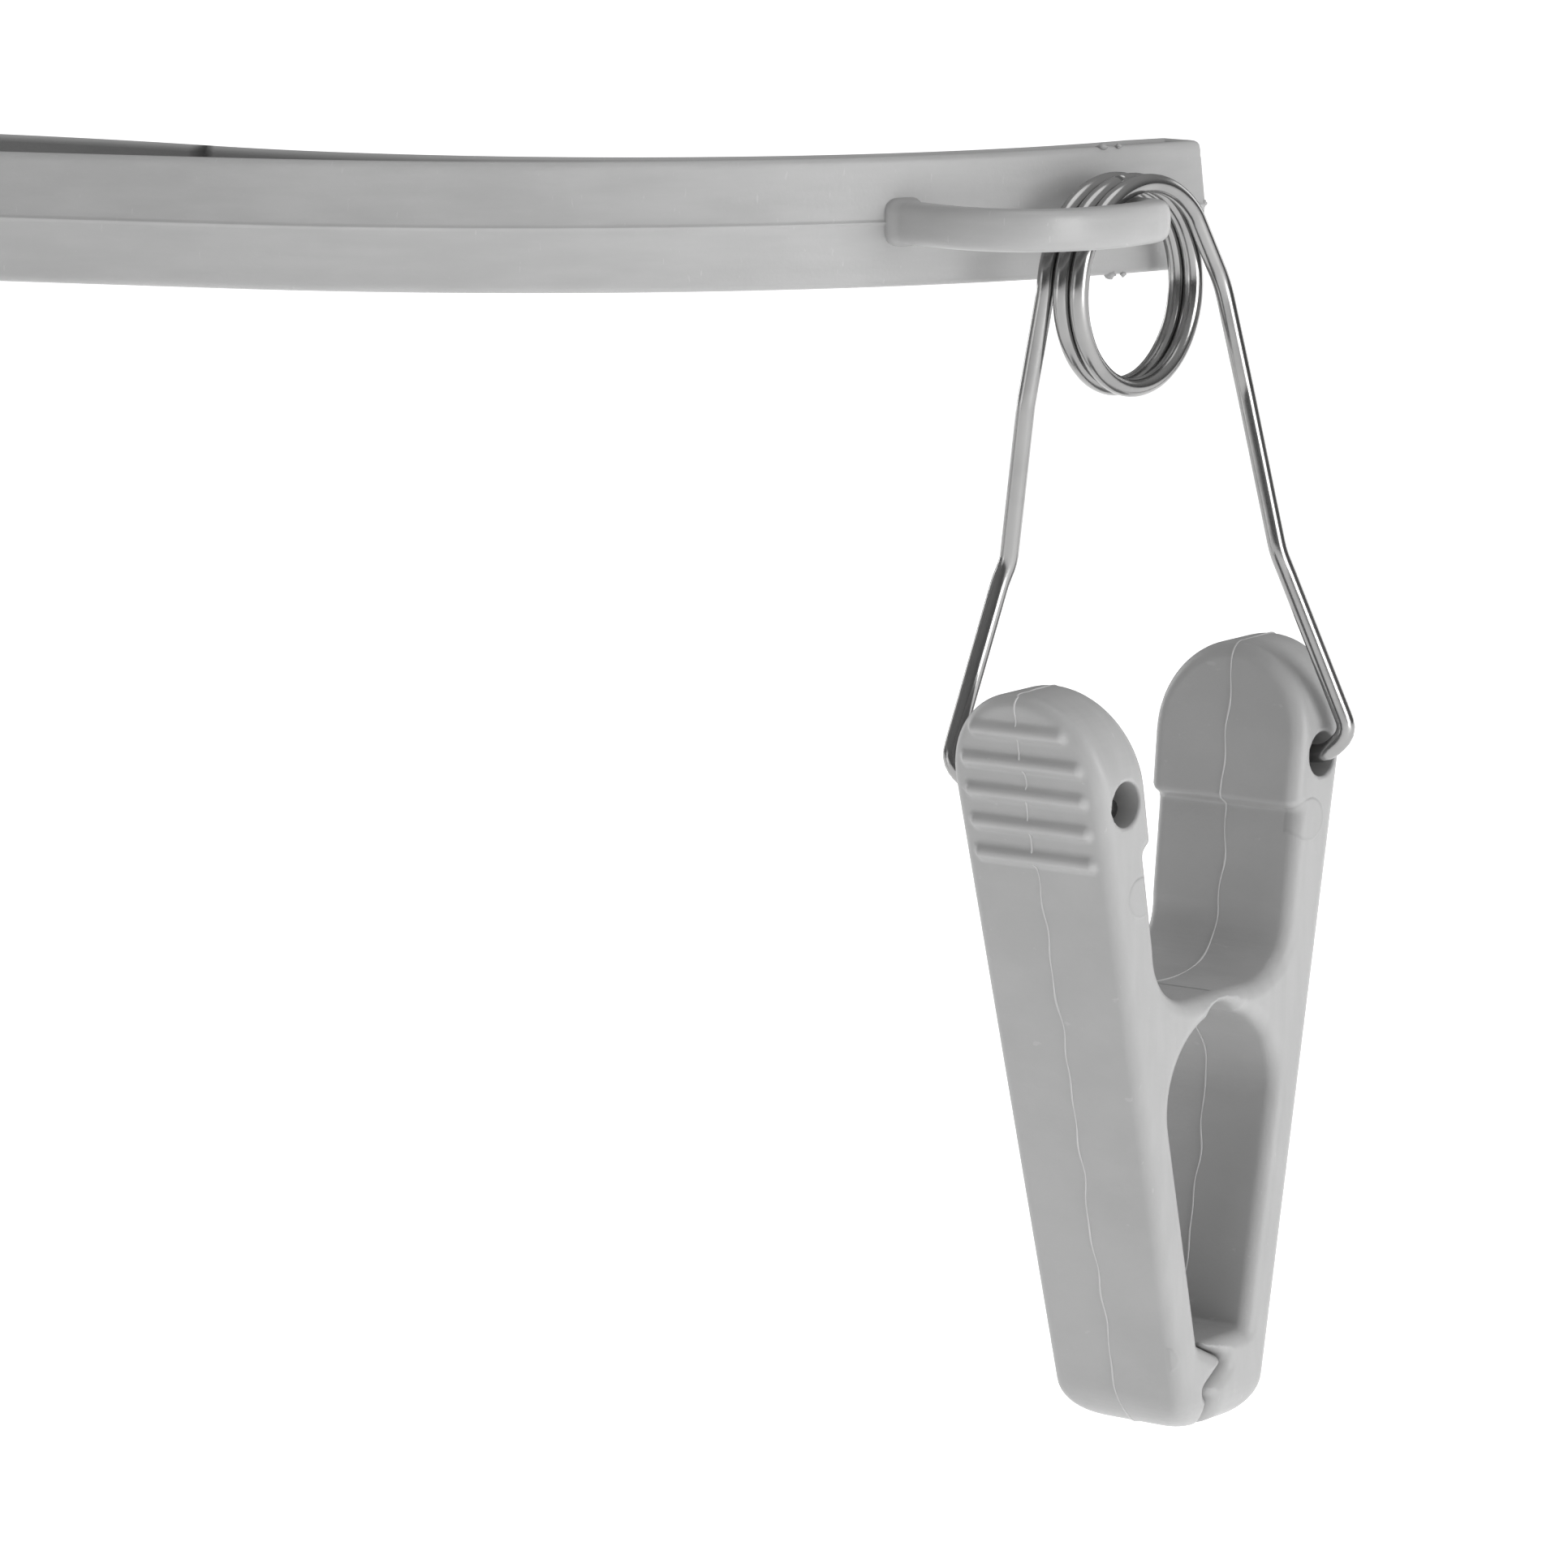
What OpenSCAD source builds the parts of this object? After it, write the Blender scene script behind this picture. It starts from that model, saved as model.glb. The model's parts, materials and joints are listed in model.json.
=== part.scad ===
// Hanging rotary peg dryer: a rail hook, a swivelling hub, curved arms and hanging spring pegs.
// Millimetres, +Z up. The origin is the middle of the rail that the hook sits on.

/* [Hook] */
// Radius of the rail that the hook sits on
rail_r = 17; // [12:0.5:22]
// Thickness of the hook, away from the rail
hook_t = 7; // [5:0.5:10]
// Width of the hook, along the rail
hook_w = 10; // [8:0.5:14]
// How far past the top of the rail the free end reaches, in degrees
hook_reach = 110; // [95:1:125]
// Length of the straight stem below the hook's neck
stem_len = 22; // [16:1:60]
// Radius of the stem
stem_r = 7; // [6.5:0.5:10]

/* [Hub] */
// Radius of the hub
hub_r = 36; // [34:1:50]
// Thickness of the hub's plates and rim
hub_wall = 2.4; // [1.8:0.1:3.5]
// Radius of the hub's rounded outer edge
hub_edge_r = 4; // [2:0.5:5]
// Gap between the stem and the top of the hub
thrust_gap = 0.3; // [0.2:0.1:1]
// Distance from the middle to each screw that holds an arm
screw_at = 24; // [21:0.5:26]
// Radius of the posts that the screws go into
post_r = 3.6; // [3:0.1:4.5]
// Radius of the screws' shanks
screw_r = 1.5; // [1.25:0.05:1.75]
// Radius of the screws' heads
screw_head_r = 3; // [2.5:0.1:3.4]
// Height of the screws' heads
screw_head_h = 1.8; // [1.2:0.1:2.4]
// Length of the screws' shanks
screw_len = 11; // [8:0.5:12]

/* [Swivel] */
// Radius of the swivel screw's plain shank
swivel_r = 3; // [2.5:0.1:3.5]
// Radius of the swivel screw's head
swivel_head_r = 6; // [5:0.1:7]
// Height of the swivel screw's head
swivel_head_h = 3.2; // [2:0.1:4]
// Depth of the swivel screw in the stem
swivel_grip = 14; // [10:1:20]
// Radius of the washer under the hub's bearing
washer_r = 8; // [7:0.1:8.5]
// Thickness of the washer
washer_t = 1; // [0.6:0.1:1.5]
// Depth of the bearing boss below the hub's top plate
bearing_depth = 2.6; // [1.5:0.1:4]

/* [Arms] */
// Number of arms
arm_count = 4; // [3:1:4]
// Direction of the first arm's straight root, in degrees from +X
arm_dir = -18.6; // [-45:0.1:45]
// Height of the arms
arm_h = 10.2; // [8:0.1:14]
// Thickness of the arms' side walls
arm_wall = 1.5; // [1:0.1:2.5]
// Thickness of the arms' middle web
arm_web = 1.6; // [1:0.1:3]
// Width of the straight root
root_w = 20; // [19:0.5:22]
// Distance from the middle of the hub to where the arm starts to curve
bend_at = 149; // [140:1:200]
// Radius of the arm's outer face
outer_r = 75.8; // [65:0.1:95]
// How far round the arm curves, in degrees
arm_sweep = 63.6; // [58:0.1:70]
// Radius of the arm's inner face
inner_r = 52.6; // [40:0.1:58]
// How far along the arm the middle of the inner curve lies from that of the outer one
inner_shift = 12.8; // [10:0.1:15]
// Thickness of the arm at its tip
tip_t = 5; // [4:0.1:7]

/* [Loops] */
// Half the height of the loops
loop_r = 1.65; // [1.3:0.05:1.8]
// Half the thickness of the loops' bar, away from the arm
loop_t = 1.2; // [1:0.05:1.4]
// Distance from the arm's face to the bar's end, over the leg that carries the peg
loop_out = 8.35; // [8.3:0.05:11]
// How much further out the bar bows in its middle
loop_bow = 3.3; // [3.2:0.1:5]
// Length of the loops, from leg to leg
loop_len = 17; // [16:0.5:24]
// Where the outer peg hangs, in degrees round the arm's curve
tip_hang = 54; // [48:0.1:55]
// Where the inner peg hangs, from the middle of the hub
root_hang = 88; // [70:1:110]
// Angle between a peg's coil and the leg that carries it
peg_skew = 15.3; // [10:0.1:16]
// Distance from the arm's face to the middle of a peg's coil
hang_out = 4.8; // [4.8:0.05:5.2]

/* [Peg levers] */
// Distance between the levers' outer faces at the hinge, halved
peg_half = 12.3; // [11:0.1:14]
// Lean of the levers' outer faces, in degrees
lever_lean = 11.75; // [9:0.25:14]
// Height of the levers above the hinge
lever_up = 26.3; // [22:0.1:32]
// Depth of the jaws below the hinge
lever_down = 35.2; // [32:0.1:42]
// Width of the levers' round tops
lever_w = 15; // [12:0.1:18]
// Width of the jaws
jaw_w = 13.2; // [10:0.1:15]
// Half the width of the opening between the handles at its foot
mouth_half = 8.9; // [8:0.1:10]
// Radius of the opening's corners at its foot
mouth_r = 5; // [3:0.5:6]
// How far the handles' pads stand proud
pad_step = 0.95; // [0.3:0.05:1.5]
// Height of the pads' foot above the hinge
pad_up = 13.3; // [10:0.1:16]
// Thickness of the hinge web
web_t = 0.9; // [0.6:0.1:1.4]
// Gap left between the two levers
lever_gap = 0.3; // [0.2:0.05:0.5]
// Widest half width of the opening between the jaws
jaw_gap_half = 6.95; // [6:0.05:8]
// Half the width of that opening just above the teeth
jaw_foot_half = 3.1; // [2:0.1:4]
// Depth of the teeth's top below the hinge
teeth_at = 27.8; // [25:0.1:29]
// Radius of the holes for the spring's ends
hole_r = 1.8; // [1.4:0.1:2.2]
// Height of those holes above the hinge
hole_up = 17.65; // [14:0.05:20]
// Distance from the middle of the peg to those holes
hole_out = 13.05; // [12:0.05:14]
// Number of grip ridges on each handle
ridge_count = 5; // [3:1:6]
// Distance between the grip ridges
ridge_pitch = 2.58; // [2:0.01:3.2]
// Half the thickness of a grip ridge
ridge_r = 0.5; // [0.3:0.05:0.8]

/* [Peg spring] */
// Radius of the spring wire
wire_r = 0.75; // [0.6:0.05:0.85]
// Radius of the coil, to the middle of the wire
coil_r = 8.05; // [7:0.05:9]
// Distance between the coil's turns
coil_pitch = 1.62; // [1.55:0.01:2]
// Clearance between the coil and the leg it hangs on
coil_gap = 0.35; // [0.2:0.05:0.8]
// Distance from the coil's middle down to the hinge
spring_drop = 56.2; // [54:0.05:64]
// How far the levers hang to the right of the coil
hang_side = 1.9; // [0:0.1:2.5]
// How far the levers hang in front of the coil
hang_front = 1.6; // [0:0.1:2.5]
// How far the levers hang off plumb, in degrees, with their jaws to the right
hang_lean = 2; // [0:0.5:3]

/* [Clearances] */
// Clearance round pieces that are put together
fit = 0.15; // [0.1:0.05:0.3]
// Clearance in the swivel's bearing
running = 0.05; // [0.02:0.01:0.1]
// Bite of the swivel screw's thread in the stem
bite = 0.1; // [0.05:0.01:0.2]

/* [Hidden] */
$fn = 64;
LEVERS = ["left_lever", "right_lever"];
PEG_COUNT = 2 * arm_count;

plastic = [0.62, 0.62, 0.62];
steel = [0.78, 0.78, 0.8];
over = 1; // how far a cut reaches past the faces that it goes through

// Hook: the neck bends back under the rail along an arc of the hook's own radius.
hook_mid_r = rail_r + hook_t / 2;
neck_bend = 60;
neck_z = -2 * hook_mid_r * sin(neck_bend);
stem_z = neck_z - stem_len;
neck_over = 2; // how far the stem's taper runs up into the neck
tip_room = 0.5; // room past the swivel screw's tip

// Hub and swivel, from the stem down
hub_top = stem_z - thrust_gap;
arm_z = hub_top - hub_wall - fit - arm_h / 2;
hub_half_h = hub_top - arm_z;
bearing_z = hub_top - hub_wall - bearing_depth;
bearing_rim = 0.5; // how far the bearing boss stands out past the washer
bearing_r = washer_r + bearing_rim;
washer_top = bearing_z - running;
swivel_head_z = washer_top - washer_t - swivel_head_h;
screw_sink = hub_wall / 2;

// Arm plan, in the arm's own frame: the root runs along +X from the hub.
outer_c = [bend_at, outer_r - root_w / 2];
bend_w = 10.9; // width of the arm where the outer curve starts
inner_c = outer_c + [inner_shift, bend_w - outer_r + sqrt(inner_r * inner_r - inner_shift * inner_shift)];
root_gap = 1; // room between neighbouring roots, and round the bearing
root_start = max((root_w / 2 + root_gap) / tan(180 / arm_count), bearing_r + root_gap);
pocket_start = hub_r + 3; // the roots are solid inside the hub and a little past it

// Where the arm's inner edge swells from the curve to the width of the root
swell_from = 20.3;
swell_r = (root_w / 2 - inner_c.y + inner_r * cos(swell_from)) / (1 - cos(swell_from));
swell_c = inner_c - (inner_r + swell_r) * [sin(swell_from), cos(swell_from)];

// Peg, measured from the leg that it hangs on
coil_z = -(coil_r - wire_r - loop_r - coil_gap);
hinge_z = coil_z - spring_drop;
lean = tan(lever_lean);
jaw_r = 4; // radius of the jaws' bottom corners

// The arm's inner edge leaves its curve this many degrees before the tip, so the two meet without a notch.
blend_in = 4;
// The loops' flat bars stand this much taller than the round legs, so their faces never just touch.
flat_over_round = 0.1;

function turn(a) = [sin(a), -cos(a)];
function arc(c, r, from, to, steps) = [for (i = [0 : steps]) c + r * turn(from + (to - from) * i / steps)];
function on_arm(a, out) = outer_c + (outer_r + out) * turn(a);
function to3(p) = [p.x, p.y, 0];

// ---- general shapes ----

// A flat band of the given half width along a line of points, with round joints
module band_2d(points, half) {
    for (i = [1 : len(points) - 1]) {
        a = points[i - 1];
        b = points[i];
        side = half * [a.y - b.y, b.x - a.x] / norm(b - a);
        polygon([a + side, b + side, b - side, a - side]);
    }
    for (p = points) translate(p) circle(half);
}

// ---- hook and swivel ----

// Part of a ring in the hook's side outline, between two directions measured from +X
module ring_part(centre, from, to) {
    reach = 2 * hook_mid_r;
    middle = (from + to) / 2;
    translate(centre) intersection() {
        difference() {
            circle(hook_mid_r + hook_t / 2, $fn = 128);
            circle(hook_mid_r - hook_t / 2, $fn = 128);
        }
        polygon(concat([[0, 0]], [for (a = [from, (from + middle) / 2, middle, (middle + to) / 2, to])
            reach * [cos(a), sin(a)]]));
    }
}

module hook_outline() {
    tip = 90 + hook_reach;
    ring_part([0, 0], -neck_bend, tip);
    ring_part([hook_mid_r, neck_z], 180 - neck_bend, 180);
    translate(hook_mid_r * [cos(tip), sin(tip)]) circle(hook_t / 2);
}

module hook() {
    color(plastic) difference() {
        union() {
            rotate([90, 0, 0]) linear_extrude(hook_w, center = true) hook_outline();
            translate([0, 0, stem_z]) cylinder(r = stem_r, h = stem_len - stem_r);
            translate([0, 0, neck_z - stem_r]) cylinder(r1 = stem_r, r2 = hook_t / 2, h = stem_r + neck_over);
        }
        translate([0, 0, stem_z - over]) cylinder(r = swivel_r - bite, h = over + swivel_grip + tip_room);
    }
}

module swivel_screw() {
    color(steel) union() {
        translate([0, 0, swivel_head_z]) cylinder(r = swivel_head_r, h = swivel_head_h);
        translate([0, 0, swivel_head_z]) cylinder(r = swivel_r, h = stem_z + swivel_grip - swivel_head_z);
    }
}

module swivel_washer() {
    color(steel) translate([0, 0, washer_top - washer_t]) difference() {
        cylinder(r = washer_r, h = washer_t);
        translate([0, 0, -over]) cylinder(r = swivel_r + running, h = washer_t + 2 * over);
    }
}

// ---- hub ----

// Upper half of the hub's casing, standing on the plane between the two halves
module hub_half() {
    rotate_extrude() difference() {
        union() {
            square([hub_r - hub_edge_r, hub_half_h]);
            square([hub_r, hub_half_h - hub_edge_r]);
            translate([hub_r - hub_edge_r, hub_half_h - hub_edge_r]) circle(hub_edge_r);
        }
        translate([-over, -hub_edge_r]) square([over + hub_r - hub_wall, hub_half_h - hub_wall + hub_edge_r]);
        translate([-over, -2 * hub_edge_r]) square([hub_r + 2 * over, 2 * hub_edge_r]);
    }
}

module each_arm() {
    for (i = [0 : arm_count - 1]) rotate([0, 0, arm_dir + i * 360 / arm_count]) children();
}

module arm_windows() {
    each_arm()
        translate([hub_r / 2, -root_w / 2 - fit, -arm_h / 2 - fit])
            cube([hub_r, root_w + 2 * fit, arm_h + 2 * fit]);
}

module hub_upper_shell() {
    color(plastic) translate([0, 0, arm_z]) difference() {
        union() {
            difference() {
                hub_half();
                arm_windows();
            }
            translate([0, 0, bearing_z - arm_z]) cylinder(r = bearing_r, h = hub_top - bearing_z - hub_wall / 2);
            each_arm()
                translate([screw_at, 0, -arm_h / 2 - fit])
                    cylinder(r = post_r, h = arm_h + 2 * fit + hub_wall / 2);
        }
        cylinder(r = swivel_r + running, h = hub_half_h + over);
        each_arm()
            translate([screw_at, 0, -arm_h / 2 - fit - over])
                cylinder(r = screw_r + running, h = screw_len + over);
    }
}

module hub_lower_shell() {
    color(plastic) translate([0, 0, arm_z]) difference() {
        mirror([0, 0, 1]) hub_half();
        arm_windows();
        each_arm() translate([screw_at, 0, -hub_half_h - over]) {
            cylinder(r = screw_r + fit, h = hub_wall + 2 * over);
            cylinder(r = screw_head_r + fit, h = screw_sink + over);
        }
    }
}

module hub_screws() {
    color(steel) translate([0, 0, arm_z - hub_half_h + screw_sink]) each_arm() translate([screw_at, 0, 0]) {
        translate([0, 0, -screw_head_h]) cylinder(r = screw_head_r, h = screw_head_h);
        translate([0, 0, -screw_head_h / 2]) cylinder(r = screw_r, h = screw_len + screw_head_h / 2);
    }
}

// ---- arms ----

// The arm's plan, with every edge moved in by inset and the root cut off at from_x
module arm_plan(inset, from_x) {
    end_cut = inset / outer_r * 180 / PI;
    side = root_w / 2 - inset;
    outer_edge = arc(outer_c, outer_r - inset, 0, arm_sweep - end_cut, 28);
    tip = outer_edge[len(outer_edge) - 1];
    inner_tip = tip - (tip_t - 2 * inset) * turn(arm_sweep);
    inner_end = atan2(inner_tip.x - inner_c.x, inner_c.y - inner_tip.y);
    polygon(concat(
        [[from_x, side], [from_x, -side]],
        outer_edge,
        [inner_tip],
        arc(inner_c, inner_r + inset, inner_end - blend_in, -swell_from, 24),
        arc(swell_c, swell_r - inset, 180 - swell_from, 180, 8)
    ));
}

// The bar of a loop, from its end over the leg that carries the peg, round its bow and back to the arm:
// how far back along the arm, and how far out of the arm's face
loop_line = [
    [0, loop_out],
    [0.1 * loop_len, loop_out + 0.32 * loop_bow],
    [0.3 * loop_len, loop_out + 0.78 * loop_bow],
    [0.51 * loop_len, loop_out + loop_bow],
    [0.7 * loop_len, loop_out + 0.8 * loop_bow],
    [0.85 * loop_len, loop_out],
    [0.95 * loop_len, loop_out / 2],
    [loop_len, -arm_wall / 2]
];

// A loop: a flat bowed bar, and the round leg that carries the peg, from a foot inside the arm's wall
module arm_loop(bar, foot) {
    leg = bar[0] - foot;
    linear_extrude(2 * loop_r + flat_over_round, center = true) band_2d(bar, loop_t);
    translate(to3(foot))
        rotate([0, 90, atan2(leg.y, leg.x)])
            cylinder(r = loop_r, h = norm(leg));
}

// The loop at the tip stands on the arm's curve.
module tip_loop() {
    degrees_per_mm = 180 / PI / outer_r;
    bar = [for (p = loop_line) on_arm(tip_hang - p.x * degrees_per_mm, p.y)];
    arm_loop(bar, on_arm(tip_hang, -arm_wall / 2));
}

// The loop on the straight root is the same loop on a flat face.
module root_loop() {
    face = -root_w / 2;
    bar = [for (p = loop_line) [root_hang - p.x, face - p.y]];
    arm_loop(bar, [root_hang, face + arm_wall / 2]);
}

module arm() {
    pocket_h = (arm_h - arm_web) / 2;
    difference() {
        union() {
            difference() {
                linear_extrude(arm_h, center = true) arm_plan(0, root_start);
                for (side = [-1, 1])
                    translate([0, 0, side * (arm_web + pocket_h + over) / 2])
                        linear_extrude(pocket_h + over, center = true) arm_plan(arm_wall, pocket_start);
            }
            tip_loop();
            root_loop();
        }
        translate([screw_at, 0, 0]) cylinder(r = post_r + fit, h = arm_h + 2 * over, center = true);
    }
}

module placed_arm(i) {
    color(plastic) translate([0, 0, arm_z]) rotate([0, 0, arm_dir + (i - 1) * 360 / arm_count]) arm();
}

// ---- pegs ----

// Moves a peg from its own frame, with X across the levers, to its place on an arm.
// Odd pegs hang at the arms' tips and even pegs at their roots.
module at_peg(i) {
    at_tip = i % 2 == 1;
    hang = at_tip ? on_arm(tip_hang, hang_out) : [root_hang, -root_w / 2 - hang_out];
    facing = (at_tip ? tip_hang : 0) + peg_skew;
    rotate([0, 0, arm_dir + floor((i - 1) / 2) * 360 / arm_count])
        translate([hang.x, hang.y, arm_z])
            rotate([0, 0, facing])
                children();
}

function half_at(z) = peg_half + lean * z;

// Half of the peg's front outline that both levers share, from the web's top round to the bottom of the jaw
foot_z = web_t / 2 + mouth_r;
mouth_lean = 0.17; // how much the opening widens with height, below the pads
pad_lean = 0.15; // and between the pads
pad_rise = 0.7; // height of the pads' sloping foot
pad_foot = mouth_half + mouth_lean * (pad_up - foot_z);
pad_top = pad_foot - pad_step + pad_lean * (lever_up - pad_up);
jaw_z = jaw_r - lever_down;
outer_half = concat(
    [[lever_gap / 2, web_t / 2]],
    arc([mouth_half - mouth_r, foot_z], mouth_r, 0, 90, 8),
    [[pad_foot, pad_up], [pad_foot - pad_step, pad_up + pad_rise], [pad_top, lever_up]],
    [[half_at(lever_up), lever_up]],
    arc([half_at(jaw_z) - jaw_r, jaw_z], jaw_r, 90 - lever_lean, 0, 6)
);

// The opening between the jaws, from its foot up to the web: a taper, a round top and a small arch.
// The arch's circle and the round top's cross at the height meet above the middle of the round top.
arch_r = 2.3;
arch_drop = 0.8; // how far the round top stays below the web
arch_z = -web_t / 2 - arch_r;
round_z = -web_t / 2 - jaw_gap_half - arch_drop;
apart = arch_z - round_z;
meet = (apart * apart + jaw_gap_half * jaw_gap_half - arch_r * arch_r) / (2 * apart);
opening_half = concat(
    [[jaw_foot_half, -teeth_at]],
    arc([0, round_z], jaw_gap_half, 80, 180 - acos(meet / jaw_gap_half), 10),
    arc([0, arch_z], arch_r, 180 - acos((meet - apart) / arch_r), 176, 4)
);

// The split between the closed jaws, from the bottom up, which runs to the left of the middle and back
split = [[-1.6, -lever_down], [-1.6, -teeth_at - 4.7], [-2.3, -teeth_at - 3.9], [0.2, -teeth_at - 2.2],
         [0.2, -teeth_at - 1.6]];
tooth_tip = [-jaw_foot_half, -teeth_at];

function flip(points, s) = [for (p = points) [s * p.x, p.y]];
function moved(points, dx) = [for (p = points) [p.x + dx, p.y]];

// Front outline of one lever, with the hinge at the origin. The right jaw's top tooth reaches over to the left one.
function lever_outline(s) = concat(
    flip(outer_half, s),
    moved(split, s * lever_gap / 2),
    s > 0 ? moved([tooth_tip], lever_gap / 2) : [],
    flip(opening_half, s)
);

// Side outline of a lever: a full-round top and round-cornered jaws
lever_side = concat(
    arc([0, lever_up - lever_w / 2], lever_w / 2, 90, 270, 20),
    arc([jaw_r - jaw_w / 2, jaw_z], jaw_r, -90, 0, 6),
    arc([jaw_w / 2 - jaw_r, jaw_z], jaw_r, 0, 90, 6)
);

// The grip ridges end short of the handle's round edges, and the top one, where the handle narrows, ends sooner.
ridge_mid = hole_up + 0.5;
ridge_len = lever_w - 4;
top_ridge_len = ridge_len - 2;

module ridges(s) {
    top = ridge_count - 1;
    for (k = [0 : top]) {
        z = ridge_mid + (k - top / 2) * ridge_pitch;
        translate([s * half_at(z), 0, z])
            rotate([90, 0, 0])
                cylinder(r = ridge_r, h = k == top ? top_ridge_len : ridge_len, center = true);
    }
}

// One lever in the peg's frame: s is -1 for the left one and 1 for the right one.
module lever(s) {
    difference() {
        union() {
            intersection() {
                rotate([90, 0, 0]) linear_extrude(2 * lever_w, center = true) polygon(lever_outline(s));
                rotate([90, 0, 90]) linear_extrude(6 * peg_half, center = true) polygon(lever_side);
            }
            ridges(s);
        }
        translate([s * hole_out, 0, hole_up])
            rotate([90, 0, 0])
                cylinder(r = hole_r, h = 2 * lever_w, center = true);
    }
}

module placed_lever(i, s) {
    color(plastic) at_peg(i) translate([hang_side, -hang_front, hinge_z]) rotate([0, -hang_lean, 0]) lever(s);
}

// Where a lever's hole lies in the peg's front view, once the levers lean
function hole_at(s) = [
    hang_side + s * hole_out * cos(hang_lean) - hole_up * sin(hang_lean),
    hinge_z + s * hole_out * sin(hang_lean) + hole_up * cos(hang_lean)
];

// The wire's middle line: up the left leg, round the coil and down the right leg. The coil starts at its left
// side, passes over the top three times and leaves a little to the right of the third. Each leg has a knee, and
// its foot turns in through the lever's hole from the lever's back on the left and from its front on the right.
coil_from = -90;
coil_to = 770;
coil_step = 20;
coil_back = (coil_to - coil_from) / 720 * coil_pitch; // half the coil's length
knee_z = coil_z - 22.5;
knee_half = 0.75; // half the height of the knee's bend
foot_y = lever_w / 2 + 1.2; // how far the feet stand out from the middle of the levers
foot_bend = 1.2; // radius of the bend into the hole
foot_end = 4; // the wire's ends lie this far from the middle of the levers

function left_leg() =
    let (hole = hole_at(-1), y = -hang_front)
    [
        [hole.x, y - foot_end, hole.y],
        [hole.x, y + foot_y - foot_bend, hole.y],
        [hole.x - 0.4 * foot_bend, y + foot_y - 0.2 * foot_bend, hole.y + 0.5 * foot_bend],
        [hole.x - 0.8 * foot_bend, y + foot_y, hole.y + 2 * foot_bend],
        [-7.9, 6.4, knee_z - knee_half],
        [-7.4, 6, knee_z + knee_half],
        [-coil_r - 0.4, coil_back + 1.6, coil_z - 9]
    ];

function right_leg() =
    let (hole = hole_at(1), y = -hang_front)
    [
        [9.4, -coil_back - 0.4, coil_z - 0.5],
        [10.8, -coil_back - 1.7, coil_z - 9],
        [11.2, -6.7, knee_z + knee_half],
        [11.7, -7.1, knee_z - knee_half],
        [hole.x + 0.8 * foot_bend, y - foot_y, hole.y + 2 * foot_bend],
        [hole.x + 0.4 * foot_bend, y - foot_y + 0.2 * foot_bend, hole.y + 0.5 * foot_bend],
        [hole.x, y - foot_y + foot_bend, hole.y],
        [hole.x, y + foot_end, hole.y]
    ];

function coil() = [
    for (a = [coil_from : coil_step : coil_to])
        [coil_r * sin(a), coil_back - (a - coil_from) / 360 * coil_pitch, coil_z + coil_r * cos(a)]
];

// A tube along a line of points: each ring stands across the line, and its first corner never turns about it.
function unit(v) = v / norm(v);
function heading(line, i) = unit(line[min(i + 1, len(line) - 1)] - line[max(i - 1, 0)]);
function across(line) = [
    for (i = 0, n = unit(cross(heading(line, 0), [1, 0, 0])); i < len(line);
         i = i + 1, n = i < len(line) ? unit(n - (n * heading(line, i)) * heading(line, i)) : n) n
];

module tube(line, r, sides) {
    normals = across(line);
    last = len(line) - 1;
    points = [
        for (i = [0 : last])
            let (n = normals[i], b = cross(heading(line, i), n))
                for (k = [0 : sides - 1]) line[i] + r * (cos(k * 360 / sides) * n + sin(k * 360 / sides) * b)
    ];
    polyhedron(points, concat(
        [[for (k = [0 : sides - 1]) k]],
        [for (i = [0 : last - 1], k = [0 : sides - 1])
            let (a = i * sides + k, b = i * sides + (k + 1) % sides) [a, a + sides, b + sides, b]],
        [[for (k = [sides - 1 : -1 : 0]) last * sides + k]]
    ));
}

module spring() {
    tube(concat(left_leg(), coil(), right_leg()), wire_r, 8);
}

module placed_spring(i) {
    color(steel) at_peg(i) spring();
}

// ---- the assembly ----

hook();
swivel_screw();
swivel_washer();
hub_upper_shell();
hub_lower_shell();
hub_screws();
for (i = [1 : arm_count])
    placed_arm(i);
for (i = [1 : PEG_COUNT]) {
    placed_spring(i);
    placed_lever(i, -1);
    placed_lever(i, 1);
}
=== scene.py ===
# %% [markdown]
# # Hanging rotary peg dryer
# A small dryer for socks and gloves: a hook goes over a rail, a hub turns below it, and four curved arms carry
# pegs on springs. Everything here is grey polypropylene or bright steel wire. The packed CAD model is the frame:
# each piece below is built in the CAD's own place, and all but the springs ride on one of its bodies.

# %% Load the frame
import json
import math

import bmesh
import bpy
import numpy as np
from mathutils import Matrix, Vector

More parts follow.
